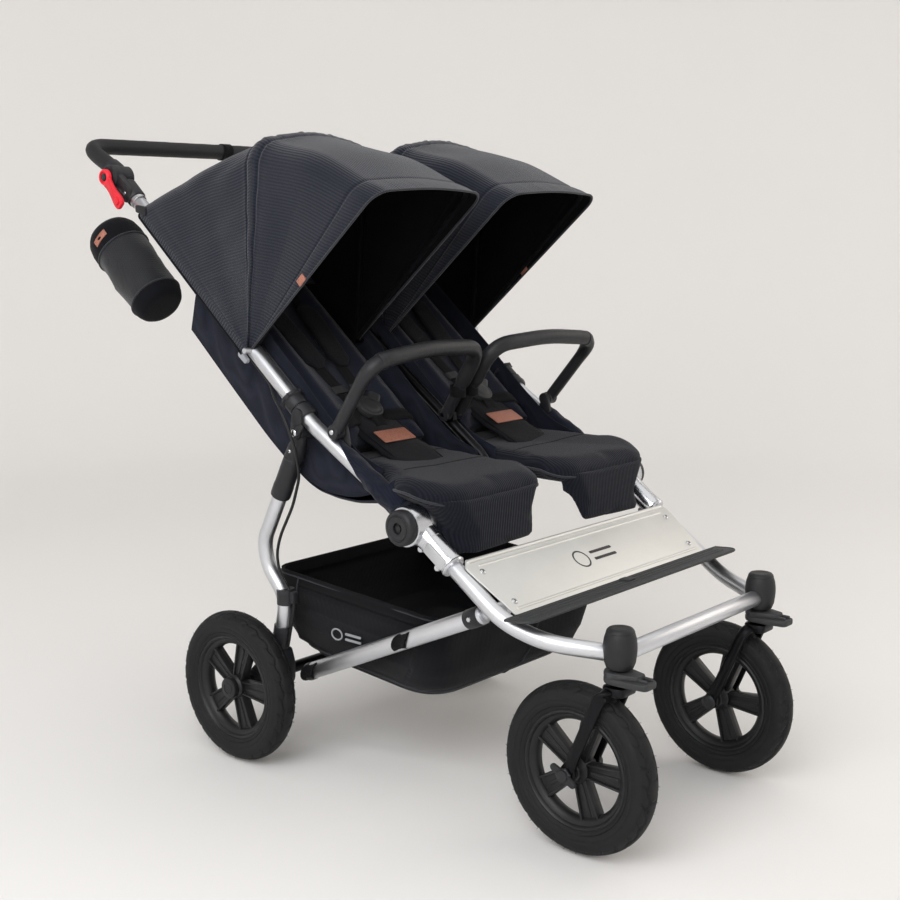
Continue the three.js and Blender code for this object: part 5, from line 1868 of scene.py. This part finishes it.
def make_seats():
    cushion = build("cushion_left", cushion_geo(), M["seat"])
    puff(cushion, *CUSHION_PUFF)
    back = build("back_left", back_geo(), M["shell"])
    puff(back, *BACK_PUFF)
    calf = build("calf_left", calf_geo(), M["seat"])
    puff(calf, *CALF_PUFF)
    bucket, curtain, sleeve, flap = bucket_geo(), curtain_geo(), seat_sleeve(), sleeve_flap()
    walls = (("wall", side_wall_geo(247.5, 3)), ("inner_wall", side_wall_geo(25, -3)))
    for side, g in SIDES:
        if g < 0:
            cushion, back, calf = (mirror_mesh(p, n) for p, n in
                                   ((cushion, "cushion_right"), (back, "back_right"), (calf, "calf_right")))
        bpy.context.view_layer.update()
        trims = cushion_trim(cushion, side, g)
        harness(back, side, g)
        centre_panel(side, g)
        for piece, ridden, node, fill in ((cushion, "upper_frame", "seat_base", 0.6),
                                          (back, f"seat_back_{side}", "seat_back", 0.55),
                                          (calf, "upper_frame", "calf_rest", 0.4)):
            wear(piece, ridden)
            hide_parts(f"{node}_{side}")
        for piece in (cushion, *trims):
            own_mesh(piece)
        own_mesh(calf)
        under = extra(f"seat_{side}_bucket", "upper_frame", "seat_fabric", bucket, M["shell"], g, 80)
        sides = [extra(f"seat_{side}_{name}", "upper_frame", "seat_fabric", wall, M["shell"], g, 80)
                 for name, wall in walls]
        drop = build(f"seat_{side}_curtain", curtain, M["shell"], g, 80)
        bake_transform(drop)
        wrap = extra(f"tube_sleeve_{side}", "upper_frame", "seat_fabric", sleeve, M["shell"], g, 80)
        end = extra(f"sleeve_flap_{side}", "upper_frame", "seat_fabric", flap, M["shell"], g, 80)


# ------------------------------------------------------------------ bumper bars
BUMPER = [at(274, BAR_PIVOT), (286, -132, 702), (150, -130, 714), (16, -118, 706), at(16, BAR_PIVOT)]


def make_bumper_bars():
    whole = resampled(rounded(BUMPER, 42), 5)
    elbow = next(i for i, p in enumerate(whole) if p.x < 262 and p.z > 690)
    inner_end = next(i for i, p in enumerate(whole) if p.x < 30 and p.z < 640)
    arm = whole[:elbow + 1]
    sleeve = whole[elbow - 1:inner_end]
    tail = whole[inner_end - 2:]
    last = len(sleeve) - 1

    def wrapped(i):
        end = 0.86 if i in (0, last) else 0.97 if i in (1, last - 1) else 1
        return end + 0.006 * math.sin(i * 1.7)

    grip = sweep(sleeve, oval(12.8, 12.8, 30), side=lambda i: (0.2, 1, 0.1), grow=wrapped)
    count = len(arm) - 1
    plastic_arm = sweep(arm, oval(12, 10.5, 28), side=(0.1, 1, 0.2),
                        grow=lambda i: 0.9 + 0.22 * smooth((i / count - 0.55) / 0.3) - 0.06
                        * bell(i / count, 1, 0.05))
    collar = sweep(whole[elbow - 2:elbow + 1], oval(13.6, 13.6, 30), side=(0.2, 1, 0.1))
    inner_arm = sweep(tail, oval(10.6, 10.6, 28), side=(1, 0, 0))
    eyes = Geo()
    for low, high in ((264, 284), (10, 24)):
        eyes.add(lathe([(low, 0), (low, 9.8), (low + 1.4, 11.2), (high - 1.4, 11.2), (high, 9.8),
                        (high, 0)], at(0, BAR_PIVOT), segments=32))
    rivet = lathe([(-12, 0), (-12, 4.5), (12, 4.5), (13.4, 3.4), (13.9, 0)], whole[elbow - 4],
                  (0.55, 0.75, 0.35), 20, slot=1)
    hard = merged(plastic_arm, collar, inner_arm, eyes, rivet)
    seam = [p + Vector((0, 5, -11.6)) for p in sleeve[6:-18]]
    keeper_at = whole[inner_end + 2]
    keeper = sweep([keeper_at + Vector((13 * math.cos(t), 13 * math.sin(t), 1.5 * math.sin(t)))
                    for t in full_turn(24)],
                   strap(18, 1.6), side=(0, 0, 1), loop=True)
    foot = slab(link((BAR_PIVOT[0] - 8, BAR_PIVOT[1] - 22), BAR_PIVOT, 7, 10.5), side_view, 255, 262.5, 2)
    for side, g in SIDES:
        body = f"bumper_bar_{side}"
        dress(f"bumper_bar_{side}", body, "bumper_leatherette", grip, M["leather"], g, 60)
        extra(f"bumper_arm_{side}", body, "joint_plastic", hard, [M["joint"], M["screw"]], g)
        extra(f"bumper_seam_{side}", body, "bumper_leatherette", sweep(seam, oval(1.1, 1.1, 8)), M["hem"], g)
        extra(f"bumper_keeper_{side}", body, "basket_fabric", keeper, M["strap"], g)
        extra(f"bumper_foot_{side}", "upper_frame", "joint_plastic", foot, M["joint"], g)


# ------------------------------------------------------------------ basket and bottle pouch
BASKET_RIDE = ("lower_frame", "basket_fabric")
POUCH_RIDE = ("upper_frame", "basket_fabric")


def basket_rings():
    """The basket's plan at each level: (z front, z rear, y front, y rear, half width, corner)."""
    return ((300, 323, -202, 172, 214, 30), (294, 316, -203, 176, 214, 30), (266, 294, -201, 184, 213, 34),
            (236, 270, -196, 189, 211, 42), (202, 236, -192, 184, 208, 50), (174, 204, -182, 168, 200, 60),
            (154, 178, -160, 138, 184, 66), (147, 161, -122, 98, 150, 60), (146, 154, -64, 46, 90, 44),
            (147, 149, -12, 8, 30, 20))


def basket_geo():
    rings = []
    for level, (zf, zr, yf, yr, half, corner) in enumerate(basket_rings()):
        outline = corner_rounded([(-half, yf), (half, yf), (half, yr), (-half, yr)], corner, 9)
        dense = resampled([(x, y, 0) for x, y in outline + outline[:1]], 14)[:-1]
        ring = []
        count = 132
        total = [0.0]
        loop = dense + dense[:1]
        for a, b in zip(loop, loop[1:]):
            total.append(total[-1] + (b - a).length)
        for k in range(count):
            d = total[-1] * k / count
            i = max(j for j in range(len(total) - 1) if total[j] <= d + 1e-9)
            t = (d - total[i]) / max(total[i + 1] - total[i], 1e-9)
            p = loop[i].lerp(loop[i + 1], t)
            share = (p.y - yf) / (yr - yf)
            sag = 7 * math.sin(math.pi * (p.x / (2 * half) + 0.5)) if level < 3 else 0
            z = zf + (zr - zf) * share - (sag if abs(p.y - yf) < 4 else 0)
            waves = ripple((0.5, k / 5.2), (0.4, k / 2.9 + level), (0.3, k / 1.7 + 2 * level))
            push = 4.5 * math.sin(math.pi * min(1, level / 6)) * waves
            ring.append(Vector((p.x * (1 + push / 300), p.y * (1 + push / 300), z + 0.6 * push)))
        rings.append(ring)
    fine = []
    for a, b in zip(rings, rings[1:]):
        for t in spread(0, 1, 5)[:-1]:
            fine.append([p.lerp(q, t) for p, q in zip(a, b)])
    fine.append(rings[-1])
    made = surface(lambda k, i: fine[i][k], range(len(fine[0])), range(len(fine)), 1.6, closed_u=True)
    bottom = [tuple(p) for p in fine[-1]]
    base = len(made.points)
    made.points += bottom + [tuple(Vector(p) + Vector((0, 0, 1.6))) for p in bottom]
    made.uv += [(p[0], p[1]) for p in bottom] * 2
    n = len(bottom)
    made.faces += [tuple(range(base, base + n)), tuple(range(base + n, base + 2 * n))]
    made.slots += [0, 0]
    return made, fine


def loop_band(points, width, thickness):
    """Webbing sewn along a rim, flat against the cloth."""
    return sweep(points, strap(width, thickness), side=lambda i: (0, 0.05, 1), loop=True)


def make_basket():
    geo, fine = basket_geo()
    basket = dress("basket", *BASKET_RIDE, geo, M["basket"], 1, 80)
    rim = [p + Vector((math.copysign(1.2, p.x), 0, -9)) for p in fine[0]]
    extra("basket_hem", *BASKET_RIDE, loop_band(rim, 22, 3.2), M["hem"])
    for number, i in enumerate((3, 22)):
        line = [Vector((p.x * 1.006, p.y * 1.006, p.z)) for p in fine[i]]
        extra(f"basket_piping_{number}", *BASKET_RIDE, sweep(line, oval(1.6, 1.6, 8), loop=True), M["piping"])
    seams = Geo()
    for k in (24, 44, 88, 108):
        line = [Vector((p[k].x * 1.006, p[k].y * 1.006, p[k].z)) for p in fine[2:30]]
        seams.add(sweep(line, oval(1.5, 1.5, 8)))
    extra("basket_seams", *BASKET_RIDE, seams, M["piping"])
    # Straps that hang the basket from the side tubes.
    hangers = Geo()
    for y in (-150, 60):
        share = (y - LOWER_PIVOT[0]) / (OPEN_PIVOT[0] - LOWER_PIVOT[0])
        z = LOWER_PIVOT[1] + (OPEN_PIVOT[1] - LOWER_PIVOT[1]) * share
        loop = [Vector((LOWER_X + 15.6 * math.cos(t), y - 6 * math.sin(t), z + 15.6 * math.sin(t)))
                for t in full_turn(28)]
        hangers.add(sweep(loop, strap(26, 1.8), side=(0, 0.9, -0.42), loop=True))
    for side, g in SIDES:
        extra(f"basket_hanger_{side}", *BASKET_RIDE, hangers, M["strap"], g)
    mark = Geo()
    centre = Vector((-217, 2, 234))
    ring = [centre + Vector((0, 12 * math.cos(t) + 20, 9 * math.sin(t))) for t in full_turn(36)]
    mark.add(sweep(ring, oval(1.4, 1.2, 8), side=lambda i: ring[i] - (centre + Vector((0, 20, 0))),
                   loop=True))
    for dz in (4.5, -4.5):
        mark.add(slab(corner_rounded([(-36, dz - 2), (0, dz - 2), (0, dz + 2), (-36, dz + 2)], 1.5, 3),
                      lambda a, b, h: (centre.x - h, centre.y + a, centre.z + b), -1, 1.2, 0.4))
    extra("basket_mark", *BASKET_RIDE, mark, M["thread"])


BOTTLE_X = -264
BOTTLE_TOP, BOTTLE_LOW = (541, 885), (399, 761)
PATCH_R, PATCH_TURN = 49.6, 0.35


def make_bottle_pouch():
    axis = (Vector(at(BOTTLE_X, BOTTLE_TOP)) - Vector(at(BOTTLE_X, BOTTLE_LOW)))
    length = axis.length
    n = axis.normalized()
    low = at(BOTTLE_X, BOTTLE_LOW)
    outer = [(0, 0), (0, 26), (1.5, 33), (6, 39.5), (14, 43), (26, 44.4), (40, 45), (60, 46), (80, 46.6),
             (100, 47), (120, 47.2),
             (length - 52, 47.4), (length - 46, 47.6), (length - 30, 47.8), (length - 12, 45.5),
             (length - 3, 41.5), (length, 38.5)]
    inner = [(h, r - 2) for h, r in reversed(outer[3:])]
    body = lathe(outer + inner + [(9, 30), (8, 0)], low, n, 72)
    for i, (x, y, z) in enumerate(body.points):
        p = Vector((x, y, z))
        h = (p - Vector(low)).dot(n)
        out = (p - Vector(low)) - n * h
        if out.length > 1 and 8 < h < length - 54:
            t = math.atan2(out.x, out.dot(n.cross(Vector((1, 0, 0)))))
            waves = ripple((0.6, 3 * t + h / 19), (0.5, 5 * t - h / 13), (0.35, 9 * t + h / 8))
            push = 2.6 * math.sin(math.pi * h / length) * waves
            body.points[i] = tuple(p + out.normalized() * push)
    pouch = dress("bottle_holder", *POUCH_RIDE, body, M["net"], 1, 70)
    band = lathe([(length - 47, 46), (length - 47, 48.6), (length - 44, 49.4), (length - 26, 49.6),
                  (length - 10, 47), (length - 2, 43),
                  (length + 0.5, 40), (length + 0.5, 38), (length - 4, 40), (length - 20, 46)], low, n, 72)
    extra("pouch_band", *POUCH_RIDE, band, M["panel"])
    foot = lathe([(-1.2, 0), (-1.2, 27), (0.6, 35.5), (6, 41), (14, 44.6), (24, 46), (24, 44), (14, 42),
                  (6, 38), (2, 30), (2, 0)], low, n, 72)
    extra("pouch_foot", *POUCH_RIDE, foot, M["panel"])
    rings = Geo()
    for h, r in ((length - 47, 48.8), (24, 46.4), (length + 0.5, 39.4)):
        c = Vector(low) + n * h
        side, other = Vector((1, 0, 0)), n.cross(Vector((1, 0, 0)))
        loop = [c + side * (r * math.cos(t)) + other * (r * math.sin(t)) for t in full_turn(60)]
        rings.add(sweep(loop, oval(1.6, 1.6, 8), loop=True))
    extra("pouch_piping", *POUCH_RIDE, rings, M["piping"])
    # Strap that hangs the pouch on the tube, and the tilted copper patch on its band.
    c = Vector(on_tube(HANDLE_RUN - 120))
    c.x = -c.x
    loop = [c + Vector((16 * math.cos(t), -10 * math.sin(t), 13 * math.sin(t))) for t in full_turn(28)]
    hang = sweep(loop, strap(24, 1.8), side=(0, 0.77, 0.63), loop=True)
    extra("pouch_strap", *POUCH_RIDE, hang, M["strap"])
    c = Vector(low) + n * (length - 27)
    other = n.cross(Vector((1, 0, 0)))

    def placed(u, v, h):
        a = math.pi + PATCH_TURN + u / PATCH_R
        r = PATCH_R + h
        return c + n * v + Vector((1, 0, 0)) * (r * math.cos(a)) + other * (r * math.sin(a))

    dense = [tuple(p[:2]) for p in resampled([(-15, -8, 0), (15, -4, 0), (15, 8, 0), (-15, 4, 0),
                                              (-15, -8, 0)], 3)[:-1]]
    patch = slab(dense, placed, -1.6, 1.4, 0.4)
    extra("pouch_patch", "upper_frame", "bumper_leatherette", patch, M["copper"])


# ------------------------------------------------------------------ room and light
def flat_material(name, colour, roughness):
    s = Shader(name)
    slow = s.noise(0.8, 2)
    base = s.mix(slow, tint(*colour, 0.985), tint(*colour, 1.015))
    return s.done(base, roughness, s.noise(300, 2), 0.00002, Specular_IOR_Level=0.2)


ROOM = ((0, 0), (2300, 0), (2750, 60), (3050, 260), (3250, 600), (3350, 1100), (3400, 3000))


ROOM_UNDER = 0.4


def make_room():
    """Seamless pale floor that curves up into a wall all round."""
    path = rounded([(0, d, z) for d, z in ROOM], 200, 6)
    turns = full_turn(96)
    points = [place((p.y * math.cos(t), p.y * math.sin(t) - SHIFT_Y, p.z - ROOM_UNDER)) for p in path
              for t in turns]
    mesh = bpy.data.meshes.new("room")
    mesh.from_pydata(points, [], ring_faces(len(path), len(turns)))
    for polygon in mesh.polygons:
        polygon.use_smooth = True
    mesh.materials.append(flat_material("room", ROOM_COLOUR, ROOM_ROUGHNESS))
    linked("room", mesh)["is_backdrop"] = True


def soft_light(name, at_, to, size, power, colour):
    data = bpy.data.lights.new(name, "AREA")
    data.shape = "RECTANGLE"
    data.size, data.size_y = size
    data.energy = power
    data.color = colour
    aim(linked(name, data), at_, to)


# Name, place, aim, size in metres, power in watts, colour.
LIGHTS = (("window", (-2600, -900, 2300), (0, 0, 400), (2.6, 2.2), 76, (0.97, 0.985, 1.0)),
          ("over", (300, -300, 3200), (0, 100, 300), (3.4, 3.0), 24, (1.0, 0.985, 0.96)),
          ("far_side", (2600, -1500, 1700), (0, 0, 500), (2.0, 2.0), 17, (1.0, 0.93, 0.85)))
AIR_COLOUR, AIR_STRENGTH = (0.96, 0.95, 0.93, 1), 0.42
ROOM_COLOUR, ROOM_ROUGHNESS = (0.85, 0.835, 0.822), 0.9


def make_light():
    for light in LIGHTS:
        soft_light(*light)
    world = bpy.data.worlds.new("air")
    world.use_nodes = True
    sky = world.node_tree.nodes["Background"]
    sky.inputs["Color"].default_value = AIR_COLOUR
    sky.inputs["Strength"].default_value = AIR_STRENGTH
    bpy.context.scene.world = world
    bpy.context.scene.view_settings.view_transform = "Standard"


make_wheels()
make_casters()
make_front_frame()
make_lower_tubes()
make_rear_legs()
make_upper_frame()
make_cable()
make_seats()
hood_geo, hood_angles, hood_sections, hood_runs = canopy_geo()
for side_name, sign in SIDES:
    make_canopy(side_name, sign, hood_geo, hood_angles, hood_sections, hood_runs)
make_bumper_bars()
make_basket()
make_bottle_pouch()
make_room()
make_light()
write_size("looks", SIZES)
